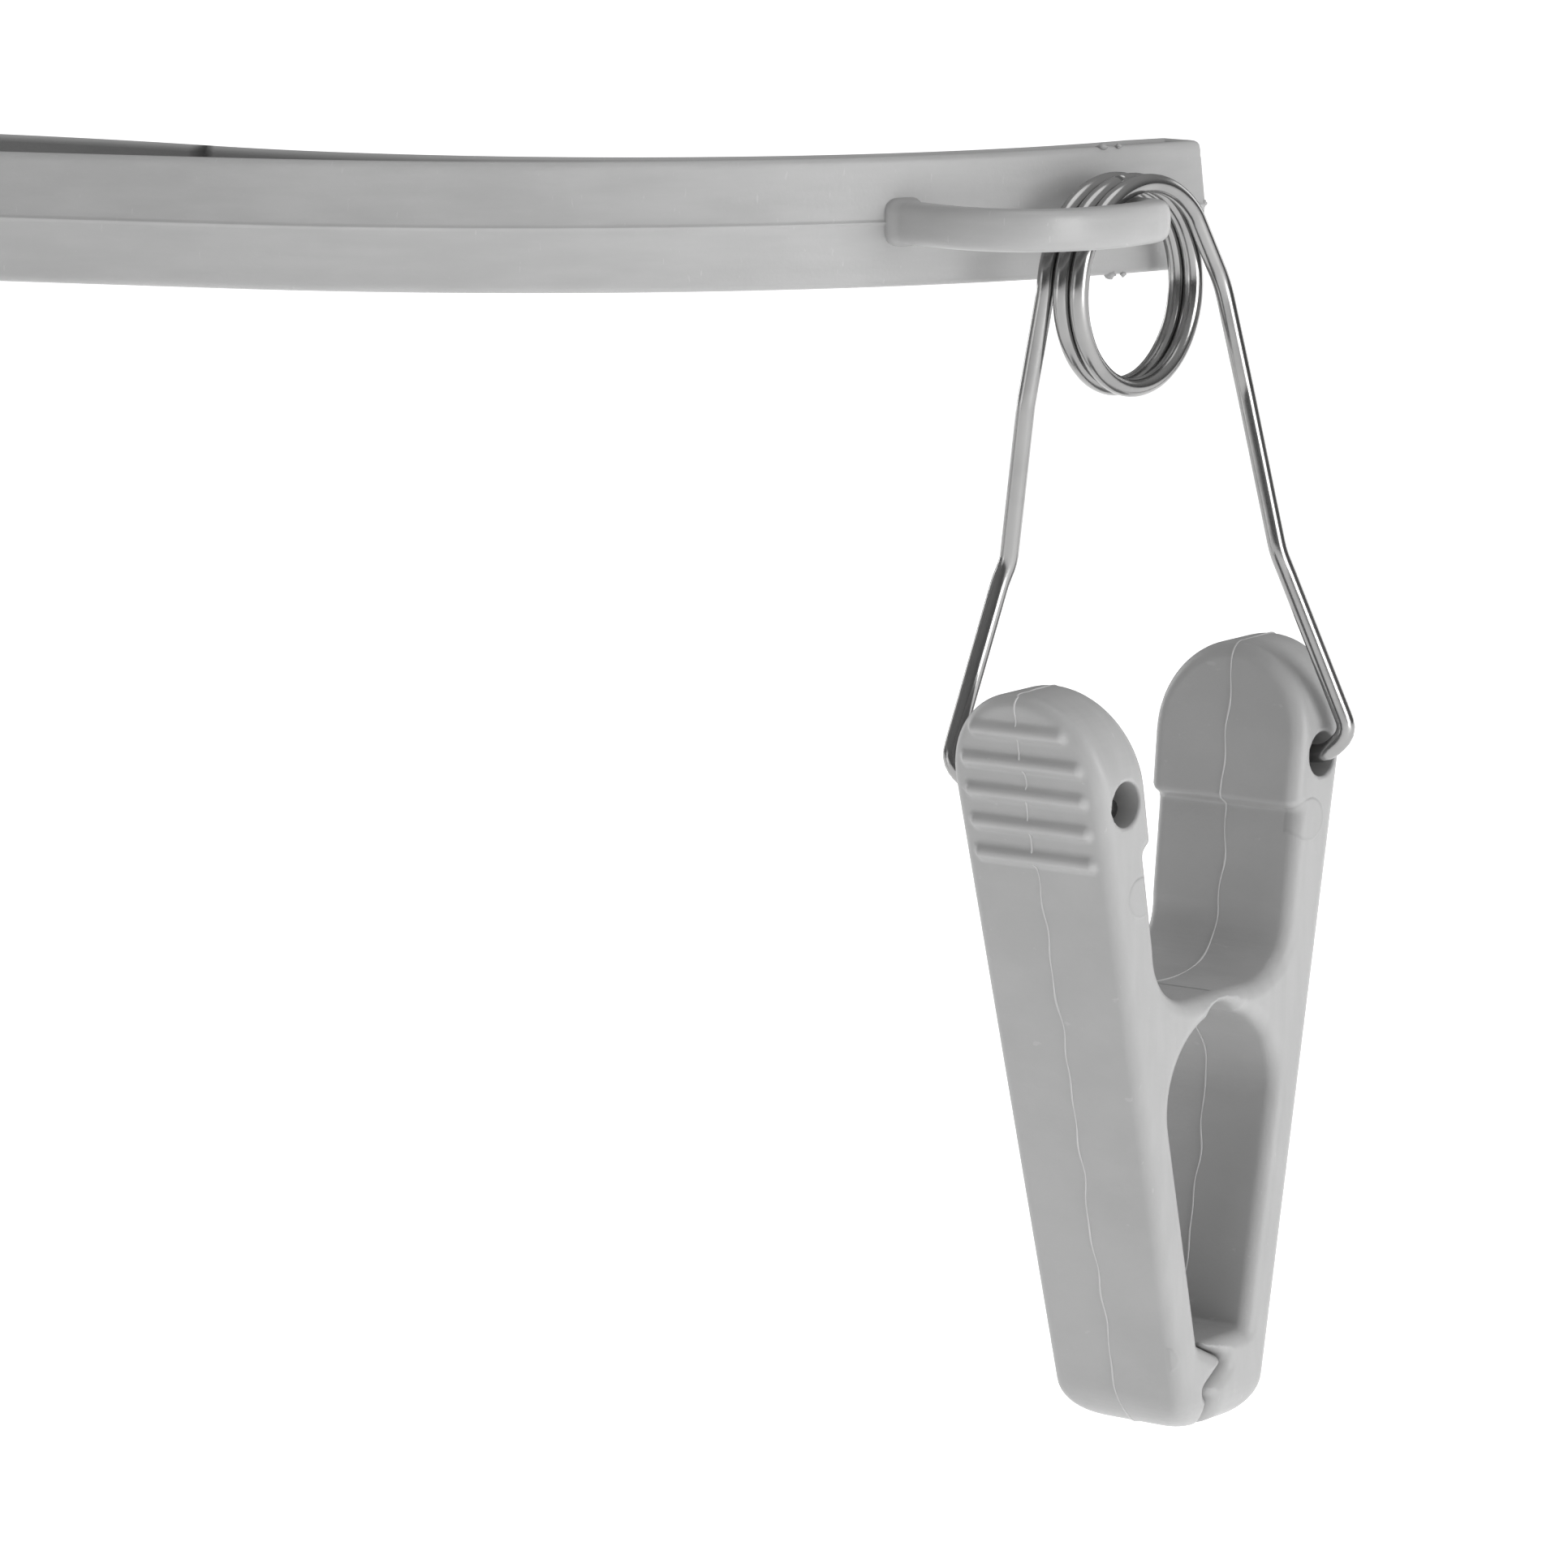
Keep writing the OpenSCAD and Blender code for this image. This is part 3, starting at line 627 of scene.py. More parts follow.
def surface_net(field, low, high, cell):
    """Quads along a field's zero inside a box, then slid onto it. Returns points, faces and normals."""
    ax = [np.arange(a, b + cell, cell) for a, b in zip(low, high)]
    f = field(ax[0][:, None, None], ax[1][None, :, None], ax[2][None, None, :])
    shape = tuple(n - 1 for n in f.shape)
    total, hits = np.zeros((*shape, 3)), np.zeros(shape)
    corners = [(i, j, k) for i in (0, 1) for j in (0, 1) for k in (0, 1)]
    at = {c: f[c[0]:c[0] + shape[0], c[1]:c[1] + shape[1], c[2]:c[2] + shape[2]] for c in corners}
    for c in corners:
        for axis in range(3):
            if c[axis]:
                continue
            d = tuple(v + (n == axis) for n, v in enumerate(c))
            cut = (at[c] < 0) != (at[d] < 0)
            t = np.where(cut, at[c] / np.where(cut, at[c] - at[d], 1), 0)
            for n in range(3):
                total[..., n] += np.where(cut, c[n] + (t if n == axis else 0), 0)
            hits += cut
    used = hits > 0
    index = np.full(shape, -1)
    index[used] = np.arange(used.sum())
    cells = np.argwhere(used)
    points = np.array(low) + cell * (cells + total[used] / hits[used][:, None])
    faces = []
    for axis in range(3):
        b, c = (axis + 1) % 3, (axis + 2) % 3
        step = np.eye(3, dtype=int)[axis]
        ends = f[tuple(slice(step[n], None) for n in range(3))]
        starts = f[tuple(slice(0, f.shape[n] - step[n]) for n in range(3))]
        for sign in (False, True):
            e = np.argwhere(((starts < 0) == sign) & ((ends < 0) != sign))
            e = e[(e[:, b] > 0) & (e[:, c] > 0) & (e[:, b] < shape[b]) & (e[:, c] < shape[c])]
            quad = []
            for db, dc in ((0, 0), (-1, 0), (-1, -1), (0, -1)) if sign else ((0, 0), (0, -1), (-1, -1), (-1, 0)):
                g = e.copy()
                g[:, b] += db
                g[:, c] += dc
                quad.append(index[tuple(g.T)])
            faces.append(np.stack(quad, 1))
    points, normals = settle(field, points)
    return points, np.vstack(faces), normals


def settle(field, points, rounds=4, reach=0.02):
    """Slides points along the field's slope onto its zero, and returns them with their unit normals."""
    p = np.array(points, float)
    for _ in range(rounds):
        slope = np.stack([(field(*(p + d).T) - field(*(p - d).T)) / (2 * reach) for d in reach * np.eye(3)], 1)
        size = np.maximum(np.linalg.norm(slope, axis=1), 0.3)
        p -= np.clip(field(*p.T) / size, -0.2, 0.2)[:, None] * slope / size[:, None]
    return p, slope / size[:, None]


print("distance fields ready")

# %% The levers' outlines
PEG_HALF = 12.3
LEAN = math.tan(math.radians(11.75))
LEVER_UP = 26.3
LEVER_DOWN = 35.2
LEVER_W = 15.0
JAW_W = 13.2
JAW_R = 4.0
WEB_T = 0.9
MOUTH_HALF = 8.9
MOUTH_R = 5.0
PAD_UP = 13.3
PAD_STEP = 0.95
GAP_HALF = 6.95
FOOT_HALF = 3.1
TEETH_AT = 27.8
HOLE_R = 1.8
HOLE_UP = 17.65
HOLE_OUT = 13.05
SPLIT = 0.15
HANG_LEAN = math.radians(2)
WEB_LAP = 0.7
ARCH_R = 2.3
EDGE_R = 1.35


def half_at(z):
    """Half the distance between the levers' outer faces at a height above the hinge."""
    return PEG_HALF + LEAN * z


def peg_outline(side):
    """Front outline of one lever in (x, z), with the hinge at the origin. side is -1 for the left one."""
    foot = WEB_T / 2 + MOUTH_R
    pad_foot = MOUTH_HALF + 0.17 * (PAD_UP - foot)
    top = LEVER_UP + 3
    pad_top = pad_foot - PAD_STEP + 0.15 * (top - PAD_UP)
    jaw_z = JAW_R - LEVER_DOWN
    lean_deg = math.degrees(math.atan(LEAN))
    outer = [(-WEB_LAP, WEB_T / 2), *arc((MOUTH_HALF - MOUTH_R, foot), MOUTH_R, 0, 90, 16), (pad_foot, PAD_UP),
             (pad_foot - PAD_STEP, PAD_UP + 0.7), (pad_top, top), (half_at(top), top),
             *arc((half_at(jaw_z) - JAW_R, jaw_z), JAW_R, 90 - lean_deg, 0, 12)]
    arch_z = -WEB_T / 2 - ARCH_R
    round_z = -WEB_T / 2 - GAP_HALF - 0.8
    apart = arch_z - round_z
    meet = (apart**2 + GAP_HALF**2 - ARCH_R**2) / (2 * apart)
    opening = [(FOOT_HALF, -TEETH_AT),
               *arc((0, round_z), GAP_HALF, 80, 180 - math.degrees(math.acos(meet / GAP_HALF)), 20),
               *arc((0, arch_z), ARCH_R, 180 - math.degrees(math.acos((meet - apart) / ARCH_R)), 176, 8),
               (-WEB_LAP, -WEB_T / 2)]
    split = [(-1.6, -LEVER_DOWN), (-1.6, -TEETH_AT - 4.7), (-2.3, -TEETH_AT - 3.9), (0.2, -TEETH_AT - 2.2),
             (0.2, -TEETH_AT - 1.6)]
    if side > 0:
        split.append((-FOOT_HALF, -TEETH_AT))
    line = [(side * x, z) for x, z in outer] + [(x + side * SPLIT, z) for x, z in split]
    line += [(side * x, z) for x, z in opening]
    return fillet(line, 0.45, steps=3, least=14)


jaw_corner = JAW_R - LEVER_DOWN - 0.6
side_line = [*arc((0, LEVER_UP - LEVER_W / 2), LEVER_W / 2, 90, 270, 40),
             *arc((JAW_R - JAW_W / 2, jaw_corner), JAW_R, -90, 0, 12),
             *arc((JAW_W / 2 - JAW_R, jaw_corner), JAW_R, 0, 90, 12)]
RIDGE_PITCH = 2.58
RIDGE_R = 0.52
RIDGE_REACHES = (5.3, 5.3, 5.3, 5.3, 4.1)
ridge_heights = [HOLE_UP + 0.5 + k * RIDGE_PITCH for k in (-2, -1, 0, 1, 2)]


def lever_field(side):
    outline = peg_outline(side)
    lip = np.array(side_line)

    def field(x, y, z):
        solid = both(outline_distance(outline, x, z), outline_distance(lip, y, z), EDGE_R)
        for height, reach in zip(ridge_heights, RIDGE_REACHES):
            over = np.maximum(np.abs(y) - reach, 0)
            bar = np.sqrt((x - side * half_at(height)) ** 2 + over**2 + (z - height) ** 2) - RIDGE_R
            solid = either(solid, bar, 0.5)
        hole = HOLE_R - np.hypot(x - side * HOLE_OUT, z - HOLE_UP) + 0 * y
        return both(solid, hole, 0.22)

    return outline, field


CELL = 0.3
lever_parts = {}
for side, name, x_low, x_high in ((-1, "left", -19.0, 1.0), (1, "right", -4.3, 19.0)):
    outline, field = lever_field(side)
    low, high = (x_low, -8.2, -LEVER_DOWN - 1), (x_high, 8.2, LEVER_UP + 1)
    lever_parts[name] = (outline, field, surface_net(field, low, high, CELL))
    print(name, "lever:", len(lever_parts[name][2][0]), "points")

# %% [markdown]
# ## The parting line and the levers in place
# The two halves of the mould leave a thin raised line round the middle of each peg, a little wavy where the tool
# has worn. It is a fine tube laid half sunk along the outline, in a paler grey that is painted light: it paints in
# the light that thin flash lets through. All eight pegs share one left and one right mesh; only their frames
# differ, and those come from the swing joints.

# %% Levers
SEAM_SIDES = 6


def peg_frame(i):
    """A peg's own frame: X across the levers, Y away from its front, Z up, with the swing's pivot at the origin."""
    swing = joints[f"peg_{i}_swing"]
    front = swing["axis"]
    x = Vector((-front[1], front[0], 0))
    y = Vector((-front[0], -front[1], 0))
    rotation = Matrix((x, y, Vector((0, 0, 1)))).transposed().to_4x4()
    return Matrix.Translation(swing["pos_m"]) @ rotation


def parting_line(outline, field, seed):
    """A closed wavy tube along a lever's outline, laid onto its skin."""
    flat = evenly(outline, 0.45, closed=True)
    turns = np.arange(len(flat)) * math.tau / len(flat)
    random = np.random.default_rng(seed)
    wave = sum(random.uniform(0.04, 0.11) * np.sin(n * turns + random.uniform(0, 6)) for n in (5, 9, 14, 23, 37))
    width = 1 + 0.35 * np.sin(31 * turns + random.uniform(0, 6)) * np.sin(7 * turns)
    line, _ = settle(field, np.stack([flat[:, 0], wave, flat[:, 1]], 1), rounds=30)
    heading = np.roll(line, -1, 0) - np.roll(line, 1, 0)
    heading /= np.linalg.norm(heading, axis=1)[:, None]
    across = np.cross(heading, (0, 1, 0))
    across /= np.linalg.norm(across, axis=1)[:, None]
    up = np.cross(heading, across)
    section = ring(0.075, 0.08, 2, SEAM_SIDES)
    points = np.vstack([p + w * (section[:, :1] * a + section[:, 1:] * b)
                        for p, w, a, b in zip(line, width, across, up)])
    return points, skin(len(line), SEAM_SIDES, wrap=True)


def thin_out(points, faces, ratio, field):
    """Collapses quads where the skin is flat, then settles the points on the field again."""
    rough = piece("rough", points, faces, peg_plastic)
    modifier = rough.modifiers.new("thin", "DECIMATE")
    modifier.ratio = ratio
    mesh = with_modifiers(rough)
    kept = np.array([v.co for v in mesh.vertices]) / MM
    kept_faces = [tuple(p.vertices) for p in mesh.polygons]
    bpy.data.objects.remove(rough)
    kept, normals = settle(field, kept, rounds=2)
    return kept, kept_faces, normals


lever_meshes = {}
for seed, name in enumerate(("left", "right")):
    outline, field, (points, faces, normals) = lever_parts[name]
    points, faces, normals = thin_out(points, faces, 0.4, field)
    seam_points, seam_faces = parting_line(outline, field, seed)
    all_points, all_faces = joined((points, faces), (seam_points, seam_faces))
    made = piece(f"peg_1_{name}_lever_moulding", all_points, all_faces, peg_plastic)
    # The seam's faces take the paler grey, which is painted light.
    made.data.materials.append(painted_light_seam_plastic)
    made.data.polygons.foreach_set("material_index", [0] * len(faces) + [1] * len(seam_faces))
    seam_middles = seam_points.reshape(-1, SEAM_SIDES, 3).mean(1)
    seam_normals = seam_points - np.repeat(seam_middles, SEAM_SIDES, axis=0)
    seam_normals /= np.linalg.norm(seam_normals, axis=1)[:, None]
    made.data.normals_split_custom_set_from_vertices(np.vstack([normals, seam_normals]).tolist())
    lever_meshes[name] = made
    print(name, "lever:", len(points), "points and", len(faces), "faces kept")

HINGE = {}
for i in range(1, PEG_COUNT + 1):
    here = peg_frame(i)
    hinge = Vector(joints[f"peg_{i}_squeeze"]["pos_m"])
    HINGE[i] = here.inverted() @ hinge
    for name, first in lever_meshes.items():
        place = Matrix.Translation(hinge) @ here.to_3x3().to_4x4() @ Matrix.Rotation(-HANG_LEAN, 4, "Y")
        if i == 1:
            lever = first
            lever.matrix_world = place
        else:
            lever = copy_of(first, f"peg_{i}_{name}_lever_moulding", place)
        finish_piece(lever, f"peg_{i}_{name}", "peg_plastic", f"peg_{i}_{name}_lever")
print("pegs:", PEG_COUNT, "with the hinge", [round(x / MM, 2) for x in HINGE[1]], "mm from the swing's pivot")

# %% [markdown]
# ## The pegs' springs
# Each spring is one wire: it hooks into the left lever from behind, bends at a knee, rises to a coil of nearly
# two and a half turns and comes down in front to the right lever. When the levers are squeezed the coil stays on
# its loop and both legs bend, so the wire is made in two halves that meet inside the coil. Both halves are built
# in place and ride on no body.

# %% Spring wire
WIRE_R = 0.75
COIL_R = 8.05
COIL_PITCH = 1.62
COIL_GAP = 0.35
LEG_R = 1.65
COIL_Z = -(COIL_R - WIRE_R - LEG_R - COIL_GAP)
COIL_FROM, COIL_TO, COIL_HALF = -90, 770, 350
coil_back = (COIL_TO - COIL_FROM) / 720 * COIL_PITCH


def coil(start, end):
    """Points of the coil between two angles, measured from its top towards the right."""
    angles = np.arange(start, end + 1, 5)
    radians = np.radians(angles)
    back = coil_back - (angles - COIL_FROM) / 360 * COIL_PITCH
    return np.stack([COIL_R * np.sin(radians), back, COIL_Z + COIL_R * np.cos(radians)], 1)


def hole_at(side):
    """Where a lever's hole lies, in the spring's own frame, once the levers lean."""
    x, y, z = HINGE[1] / MM
    across = side * HOLE_OUT
    return (x + across * math.cos(HANG_LEAN) - HOLE_UP * math.sin(HANG_LEAN), y,
            z + across * math.sin(HANG_LEAN) + HOLE_UP * math.cos(HANG_LEAN))


KNEE = COIL_Z - 22.5
FOOT_Y = LEVER_W / 2 + 2.0
FOOT_END = 6.0


def left_leg():
    x, y, z = hole_at(-1)
    return [(x, y - FOOT_END, z - 0.5), (x, y + FOOT_Y - 1.7, z), (x - 0.7, y + FOOT_Y, z + 1.9),
            (-7.9, 6.4, KNEE - 0.7), (-7.4, 6.0, KNEE + 0.8), (-COIL_R - 0.4, coil_back + 1.6, COIL_Z - 9)]


def right_leg():
    x, y, z = hole_at(1)
    return [(9.4, -coil_back - 0.4, COIL_Z - 0.5), (10.8, -coil_back - 1.7, COIL_Z - 9),
            (11.2, -6.7, KNEE + 0.8), (11.7, -7.1, KNEE - 0.7), (x + 0.7, y - FOOT_Y, z + 1.9),
            (x, y - FOOT_Y + 1.7, z), (x, y + FOOT_END, z - 0.5)]


wire_points = [*left_leg(), *coil(COIL_FROM, COIL_TO), *right_leg()]
full_line = evenly(fillet(wire_points, 7, steps=10, least=1.5, closed=False), 0.5)
middle = int(np.argmin(np.linalg.norm(full_line - coil(COIL_HALF, COIL_HALF)[0], axis=1)))
print("spring wire:", round(float(along(full_line)[-1])), "mm long")


def wire(name, line, run, place):
    """A round wire with a UV map: u is run, the distance along it in metres, and v goes round it."""
    sides = 16
    points, faces = sweep(line, [ring(WIRE_R, WIRE_R, 2, sides)] * len(line), (0.2, 0.3, 1))
    points = (np.array(place.to_3x3()) @ points.T).T + np.array(place.translation) / MM
    made = piece(name, points, faces, wire_steel)
    uv = made.data.uv_layers.new(name="wire")
    values = []
    for i in range(len(line) - 1):
        for k in range(sides):
            values += [run[i], k / sides, run[i], (k + 1) / sides,
                       run[i + 1], (k + 1) / sides, run[i + 1], k / sides]
    values += [run[0], 0.0] * sides + [run[-1], 0.0] * sides
    uv.data.foreach_set("uv", np.array(values, np.float32))
    return made


length = along(full_line) * MM
for i in range(1, PEG_COUNT + 1):
    here = peg_frame(i)
    for name, part in (("left", slice(None, middle + 1)), ("right", slice(middle, None))):
        half_wire = wire(f"peg_{i}_spring_{name}_half", full_line[part], length[part], here)
        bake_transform(half_wire)
        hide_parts(f"peg_{i}_spring")
print("springs:", PEG_COUNT, "of", len(full_line), "rings each")

# %% [markdown]
# ## The hook
# The hook is a flat bar with round edges, bent round a rail, and its neck brings the stem back under the rail's
# middle so that the dryer hangs level. One sweep makes it: the section goes from the flat bar to the round stem.

# %% Hook
RAIL_R = 17.0
HOOK_T = 7.0
HOOK_W = 10.0
HOOK_REACH = 110
NECK_BEND = 60
STEM_R = 7.0
STEM_LEN = 22.0
CAP_ANGLE = math.pi / 2 * 0.97
hook_mid = RAIL_R + HOOK_T / 2
neck_z = -2 * hook_mid * math.sin(math.radians(NECK_BEND))
stem_z = neck_z - STEM_LEN


def bow(centre, start, end, steps):
    return [(centre[0] + hook_mid * math.cos(math.radians(a)), centre[1] + hook_mid * math.sin(math.radians(a)))
            for a in np.linspace(start, end, steps)]


hook_line = bow((0, 0), 90 + HOOK_REACH, -NECK_BEND, 110)
hook_line += bow((hook_mid, neck_z), 180 - NECK_BEND, 180, 28)[1:]
tip = np.array(hook_line[0])
tip_way = tip - hook_line[1]
tip_way /= np.linalg.norm(tip_way)
cap = [tip + tip_way * HOOK_T / 2 * math.sin(a) for a in np.linspace(CAP_ANGLE, 0, 9)][:-1]
stem_heights = [*np.arange(neck_z - 0.6, stem_z + 0.8, -0.6), stem_z + 0.5, stem_z + 0.2, stem_z]
stem = [(0, z) for z in stem_heights]
hook_line = np.array([*cap, *hook_line, *stem])
hook_sections = []
for n, (x, z) in enumerate(hook_line):
    size, down = 1, 0
    if n < len(cap):
        size = math.cos(CAP_ANGLE * (1 - n / len(cap)))
    elif n > len(cap) + 100:
        size = 1 - 0.12 * max(0, 1 - (z - stem_z) / 0.8) ** 2
        down = eased((neck_z + 2 - z) / 9)
    half_w = HOOK_W / 2 + down * (STEM_R - HOOK_W / 2)
    half_t = HOOK_T / 2 + down * (STEM_R - HOOK_T / 2)
    hook_sections.append(size * ring(half_t, half_w, 4.2 - 2.2 * down, 40))
hook_path = np.column_stack([hook_line[:, 0], np.zeros(len(hook_line)), hook_line[:, 1]])
hook = piece("hook_moulding", *sweep(hook_path, hook_sections, (1, 0, 0)), hook_plastic)
finish_piece(hook, "hanger", "hook_plastic", "hook")
print("hook:", len(hook_path), "sections")

# %% [markdown]
# ## The hub
# Two turned shells clamp the arms' roots. A profile turned about the swivel gives each shell, boxes cut the arms'
# windows out of its rim, and a narrow bevel rounds the cut edges, as moulded edges are. The top has a shallow
# ring.

# %% Hub shells
HUB_R = 36.0
HUB_WALL = 2.4
HUB_EDGE_R = 4.0
FIT = 0.15
SCREW_AT = 24.0
SCREW_HEAD_R = 3.0
WELL_DEPTH = 1.2
BORE_R = 3.05
BOSS_R = 8.5
BOSS_H = 2.6
GROOVE_DEPTH = 0.45
HUB_HALF = (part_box("hub_upper_shell")[1].z - ARM_Z) / MM


def turned(name, outline, material, steps=128):
    """A closed outline of (radius, height) points turned about Z."""
    angles = np.arange(steps) * math.tau / steps
    points = [(r * math.cos(a), r * math.sin(a), z) for a in angles for r, z in outline]
    return piece(name, points, skin(steps, len(outline), wrap=True), material)


def box_piece(name, low, high, frame=None):
    corners = [(x, y, z) for x in (low[0], high[0]) for y in (low[1], high[1]) for z in (low[2], high[2])]
    faces = [(0, 1, 3, 2), (4, 6, 7, 5), (0, 4, 5, 1), (2, 3, 7, 6), (0, 2, 6, 4), (1, 5, 7, 3)]
    made = piece(name, corners, faces, hub_plastic)
    if frame is not None:
        made.matrix_world = frame
    return made


def outward(made):
    """Turns all faces outwards."""
    work = bmesh.new()
    work.from_mesh(made.data)
    bmesh.ops.recalc_face_normals(work, faces=work.faces)
    work.to_mesh(made.data)
    work.free()
    return made


def cut_away(made, cutters):
    """Takes the cutters out of a piece and removes them."""
    outward(made)
    for cutter in cutters:
        outward(cutter)
        modifier = made.modifiers.new("cut", "BOOLEAN")
        modifier.operation = "DIFFERENCE"
        modifier.solver = "EXACT"
        modifier.object = cutter
    mesh = with_modifiers(made)
    made.modifiers.clear()
    made.data = mesh
    for cutter in cutters:
        bpy.data.objects.remove(cutter)
    return made


def soften(made, width_mm, angle=38):
    """A narrow round bevel on every sharp edge, and smooth shading that keeps flats flat."""
    bevel = made.modifiers.new("soften", "BEVEL")
    bevel.width = width_mm * MM
    bevel.segments = 3
    bevel.limit_method = "ANGLE"
    bevel.angle_limit = math.radians(angle)
    bevel.harden_normals = True
    mesh = with_modifiers(made)
    made.modifiers.clear()
    made.data = mesh
    mesh.polygons.foreach_set("use_smooth", [True] * len(mesh.polygons))
    return made


def shell_outline(sign):
    """Half of the hub's casing, from its bore out over the rim and back inside."""
    bore = BORE_R if sign > 0 else 0.0
    edge = [(HUB_R - HUB_EDGE_R * (1 - math.sin(a)), HUB_HALF - HUB_EDGE_R * (1 - math.cos(a)))
            for a in np.linspace(0, math.pi / 2, 10)]
    inner, ceiling, groove = HUB_R - HUB_WALL, HUB_HALF - HUB_WALL, HUB_HALF - GROOVE_DEPTH
    outline = [(bore, HUB_HALF), (27, HUB_HALF), (27.5, groove), (29.5, groove), (30, HUB_HALF), *edge,
               (HUB_R, 0.06), (inner, 0.06), (inner, ceiling)]
    if sign > 0:
        outline += [(BOSS_R, ceiling), (BOSS_R, ceiling - BOSS_H), (bore, ceiling - BOSS_H)]
    else:
        outline += [(bore, ceiling)]
    return [(r, sign * z) for r, z in outline]


for sign, name in ((1, "hub_upper_shell"), (-1, "hub_lower_shell")):
    shell = turned(name + "_moulding", shell_outline(sign), hub_plastic)
    cutters = [box_piece(f"window_{k}", (HUB_R / 2, -ROOT_W / 2 - FIT, -ARM_H / 2 - FIT),
                         (2 * HUB_R, ROOT_W / 2 + FIT, ARM_H / 2 + FIT),
                         Matrix.Rotation(angle, 4, "Z")) for k, angle in enumerate(arm_angles)]
    if sign < 0:
        low, high, r = -HUB_HALF - 1, -HUB_HALF + WELL_DEPTH, SCREW_HEAD_R + FIT
        for k, angle in enumerate(arm_angles):
            well = turned(f"well_{k}", [(0, low), (r, low), (r, high), (0, high)], hub_plastic, 32)
            well.matrix_world = Matrix.Translation(SCREW_AT * MM * Vector((math.cos(angle), math.sin(angle), 0)))
            cutters.append(well)
    shell = soften(cut_away(shell, cutters), 0.3)
    shell.matrix_world = Matrix.Translation((0, 0, ARM_Z))
    finish_piece(shell, "dryer", "hub_plastic", name)
    print(name, len(shell.data.polygons), "faces")

# %% [markdown]
# ## The fasteners
# Four pan-head screws hold the shells. Their heads sit in wells in the lower shell, so a turned head with a cross
# recess is enough; the shanks are inside. The swivel screw and its washer keep their CAD shape, with zinc plate.

# %% Screws
HEAD_H = 1.8
SHANK_R = 1.5
SHANK_LEN = 11
SLOT_HALF_LEN = 1.7
SLOT_HALF_W = 0.35
dome = [(1.2, 0), (2.0, 0.12), (2.6, 0.42), (2.9, 0.85), (3.0, 1.3)]
head = [(0, -HEAD_H), *((r, rise - HEAD_H) for r, rise in dome), (SCREW_HEAD_R, 0), (SHANK_R, 0),
        (SHANK_R, SHANK_LEN), (0, SHANK_LEN)]
screw = turned("screw", head, screw_steel, 48)
cross = [box_piece(name, (-x, -y, -HEAD_H - 1), (x, y, -HEAD_H + 1.0))
         for name, x, y in (("slot_a", SLOT_HALF_LEN, SLOT_HALF_W), ("slot_b", SLOT_HALF_W, SLOT_HALF_LEN))]
screw = soften(cut_away(screw, cross), 0.08)
screw_points = np.array([v.co for v in screw.data.vertices]) / MM
screw_faces = [tuple(p.vertices) for p in screw.data.polygons]
placed = []
for k, angle in enumerate(arm_angles):
    spin = 0.4 + 0.9 * k
    turned_by = np.array(((math.cos(spin), -math.sin(spin), 0), (math.sin(spin), math.cos(spin), 0), (0, 0, 1)))
    seat = ARM_Z / MM - HUB_HALF + WELL_DEPTH
    at = np.array((SCREW_AT * math.cos(angle), SCREW_AT * math.sin(angle), seat))
    placed.append((screw_points @ turned_by.T + at, screw_faces))
bpy.data.objects.remove(screw)
screws = piece("hub_screws_zinc", *joined(*placed), screw_steel)
screws.data.set_sharp_from_angle(angle=math.radians(35))
finish_piece(screws, "dryer", "fastener_steel", "hub_screws")
for name in ("swivel_screw", "swivel_washer"):
    node = frame["nodes"][name]
    node.data.materials.clear()
    node.data.materials.append(screw_steel)
print("screws:", ARM_COUNT)

# %% [markdown]
# ## Floor and light
# A small grey plastic part is lit like a catalogue picture: a wide soft light in front on the right as the key, a
# weaker one on the left, two behind, faint daylight from above, and a pale floor that throws light up. The camera
# sees a white sky, but polished wire needs something dark to mirror, so everything else sees a darker one.

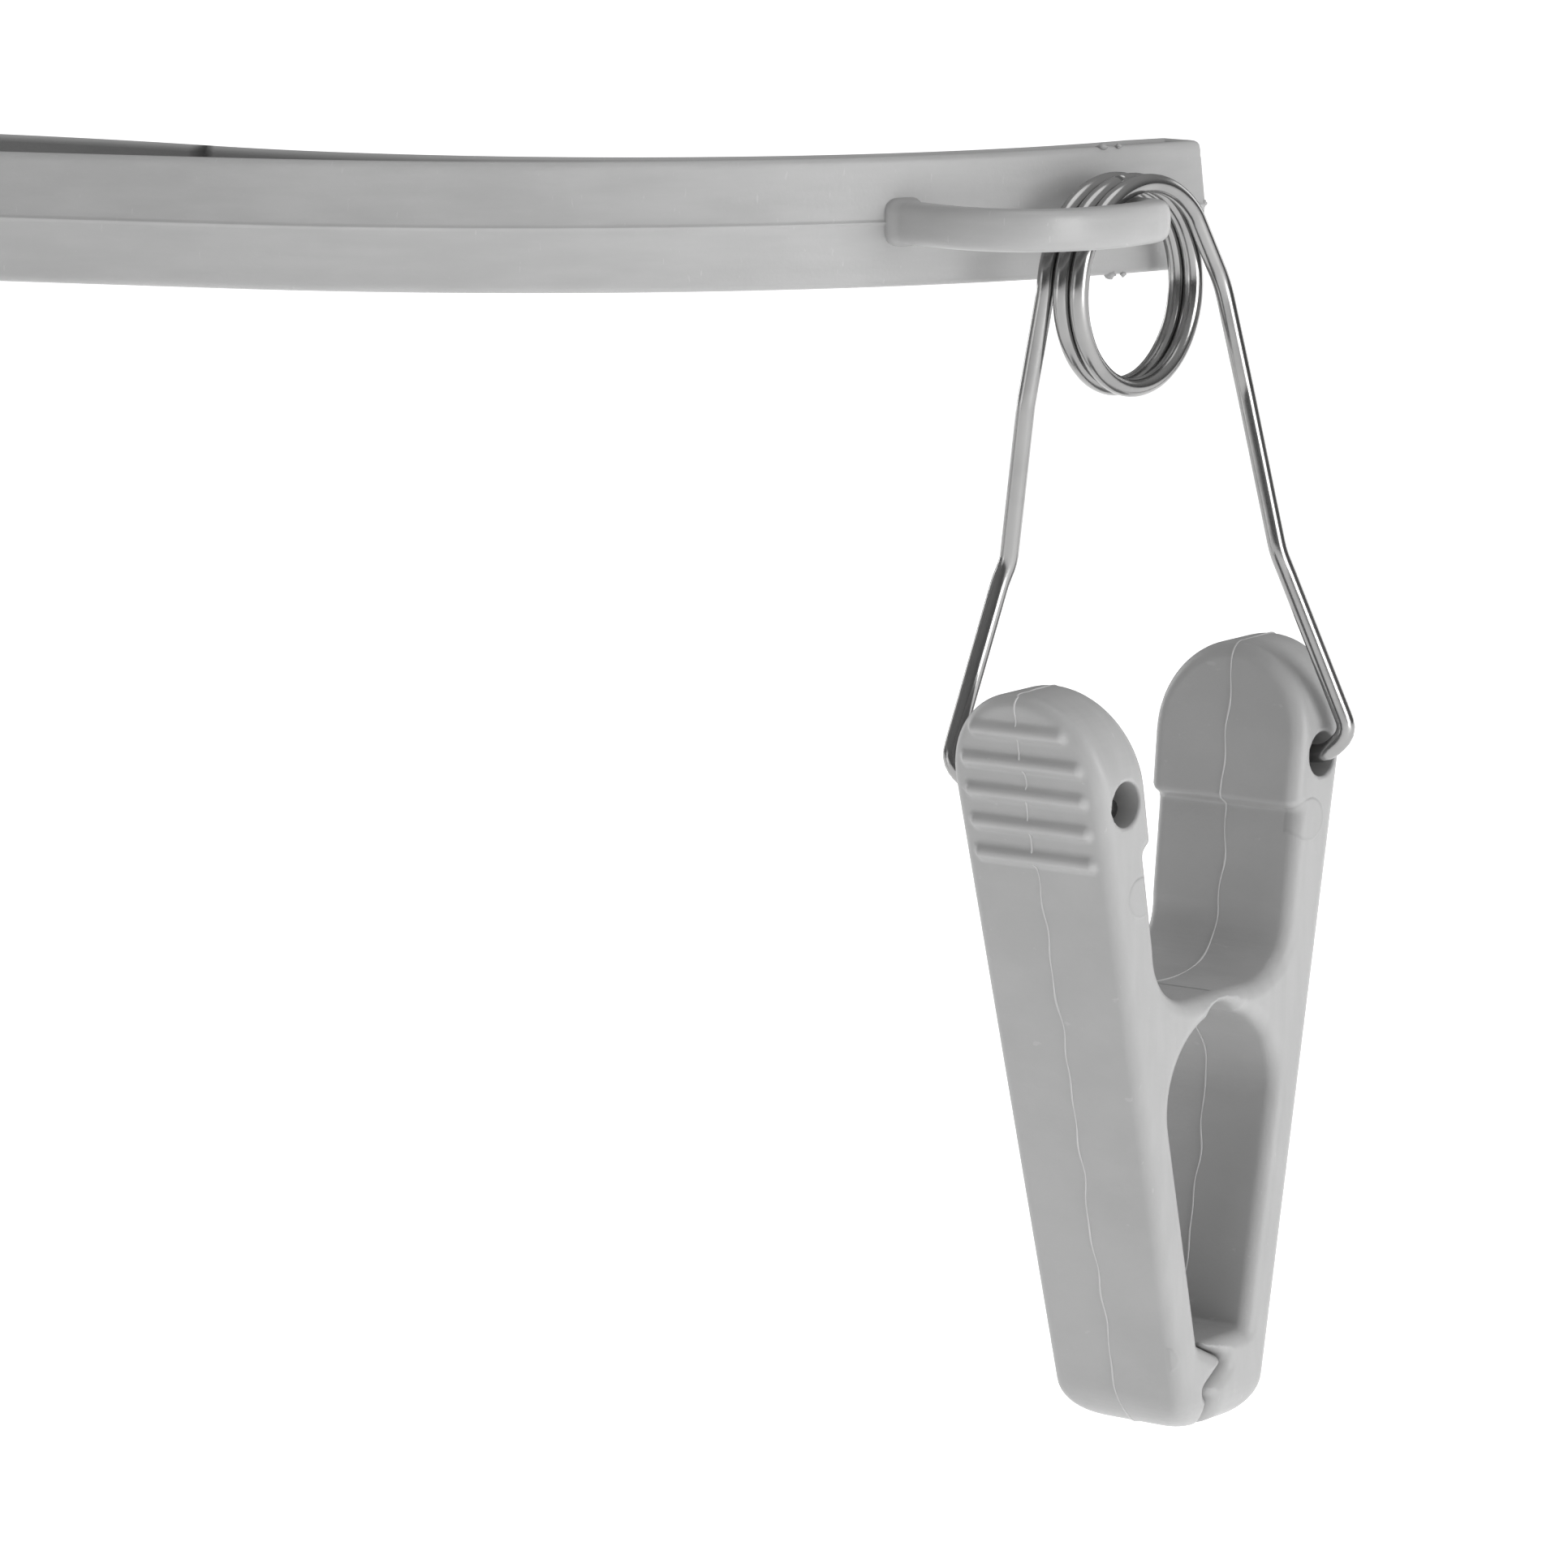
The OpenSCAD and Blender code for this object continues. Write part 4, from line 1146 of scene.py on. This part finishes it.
# %% Floor, sky and lights
FLOOR_DROP = 0.30
SKY_STRENGTH = 1.15
SKY_STOPS = [(0.50, 0.08), (0.85, 0.42)]
floor_at = (0, 0, CAD_BOX[0].z - FLOOR_DROP)
bpy.ops.mesh.primitive_circle_add(vertices=96, radius=9, fill_type="NGON", location=floor_at)
floor = bpy.context.object
floor.name = "studio_floor"
floor_finish = Finish("pale_floor", Roughness=0.7, Emission_Strength=0.66, Emission_Color=(1, 1, 1, 1))
soft_cloud = floor_finish.noise(floor_finish.place(), 1.5, 2)
floor_finish.vary("Base Color", floor_finish.blend(soft_cloud, grey(0.90), grey(0.93)))
floor.data.materials.append(floor_finish.material)

sky = Finish("studio", sky=True, Strength=SKY_STRENGTH)
bpy.context.scene.world = sky.material
way = sky.node("ShaderNodeTexCoord", output="Generated")
height = sky.node("ShaderNodeSeparateXYZ", None, {"Vector": way}, "Z")
glow = sky.node("ShaderNodeValToRGB", {"stops": SKY_STOPS}, {"Fac": 0.5 + 0.5 * height})
seen = sky.node("ShaderNodeLightPath", output="Is Camera Ray")
sky.vary("Color", sky.blend(seen, glow, grey(1.0)))


def soft_light(name, place, target, size, watts, height=None):
    """A soft box that faces a point."""
    light = bpy.data.lights.new(name, "AREA")
    light.shape = "RECTANGLE"
    light.size = size
    light.size_y = height or size
    light.energy = watts
    made = new_object(name, light)
    made.location = place
    made.rotation_mode = "QUATERNION"
    made.rotation_quaternion = (Vector(target) - Vector(place)).to_track_quat("-Z", "Y")
    made.visible_camera = False


middle_point = (0.1, 0.0, -0.09)
soft_light("key", (2.0, -1.6, 0.25), middle_point, 1.1, 33, 1.5)
soft_light("fill", (-2.3, -0.9, -0.1), middle_point, 1.0, 4)
soft_light("back_left", (-1.7, 2.2, 0.3), middle_point, 1.2, 14)
soft_light("back_right", (1.9, 1.9, 0.3), middle_point, 1.2, 8)
daylight = bpy.data.lights.new("daylight", "SUN")
daylight.energy = 0.5
daylight.angle = math.radians(40)
new_object("daylight", daylight)
bpy.context.scene.view_settings.view_transform = "Standard"

# %% [markdown]
# ## Camera
# A long lens from the front, a little above, that looks down at the end of the first arm and the peg on it.

# %% Camera
LENS = 186.3
PITCH_DEG = 8.96
first_pivot = Vector(joints["peg_1_swing"]["pos_m"])
camera_data = bpy.data.cameras.new("camera")
camera_data.lens = LENS
camera_data.sensor_width = 36
camera = new_object("camera", camera_data)
camera.location = first_pivot + Vector((-0.0270, -0.6355, 0.0552))
camera.rotation_euler = (math.radians(90 - PITCH_DEG), 0, 0)
camera_data.clip_start = 0.02
camera_data.clip_end = 60
bpy.context.scene.camera = camera
print("camera at", [round(x, 4) for x in camera.location])
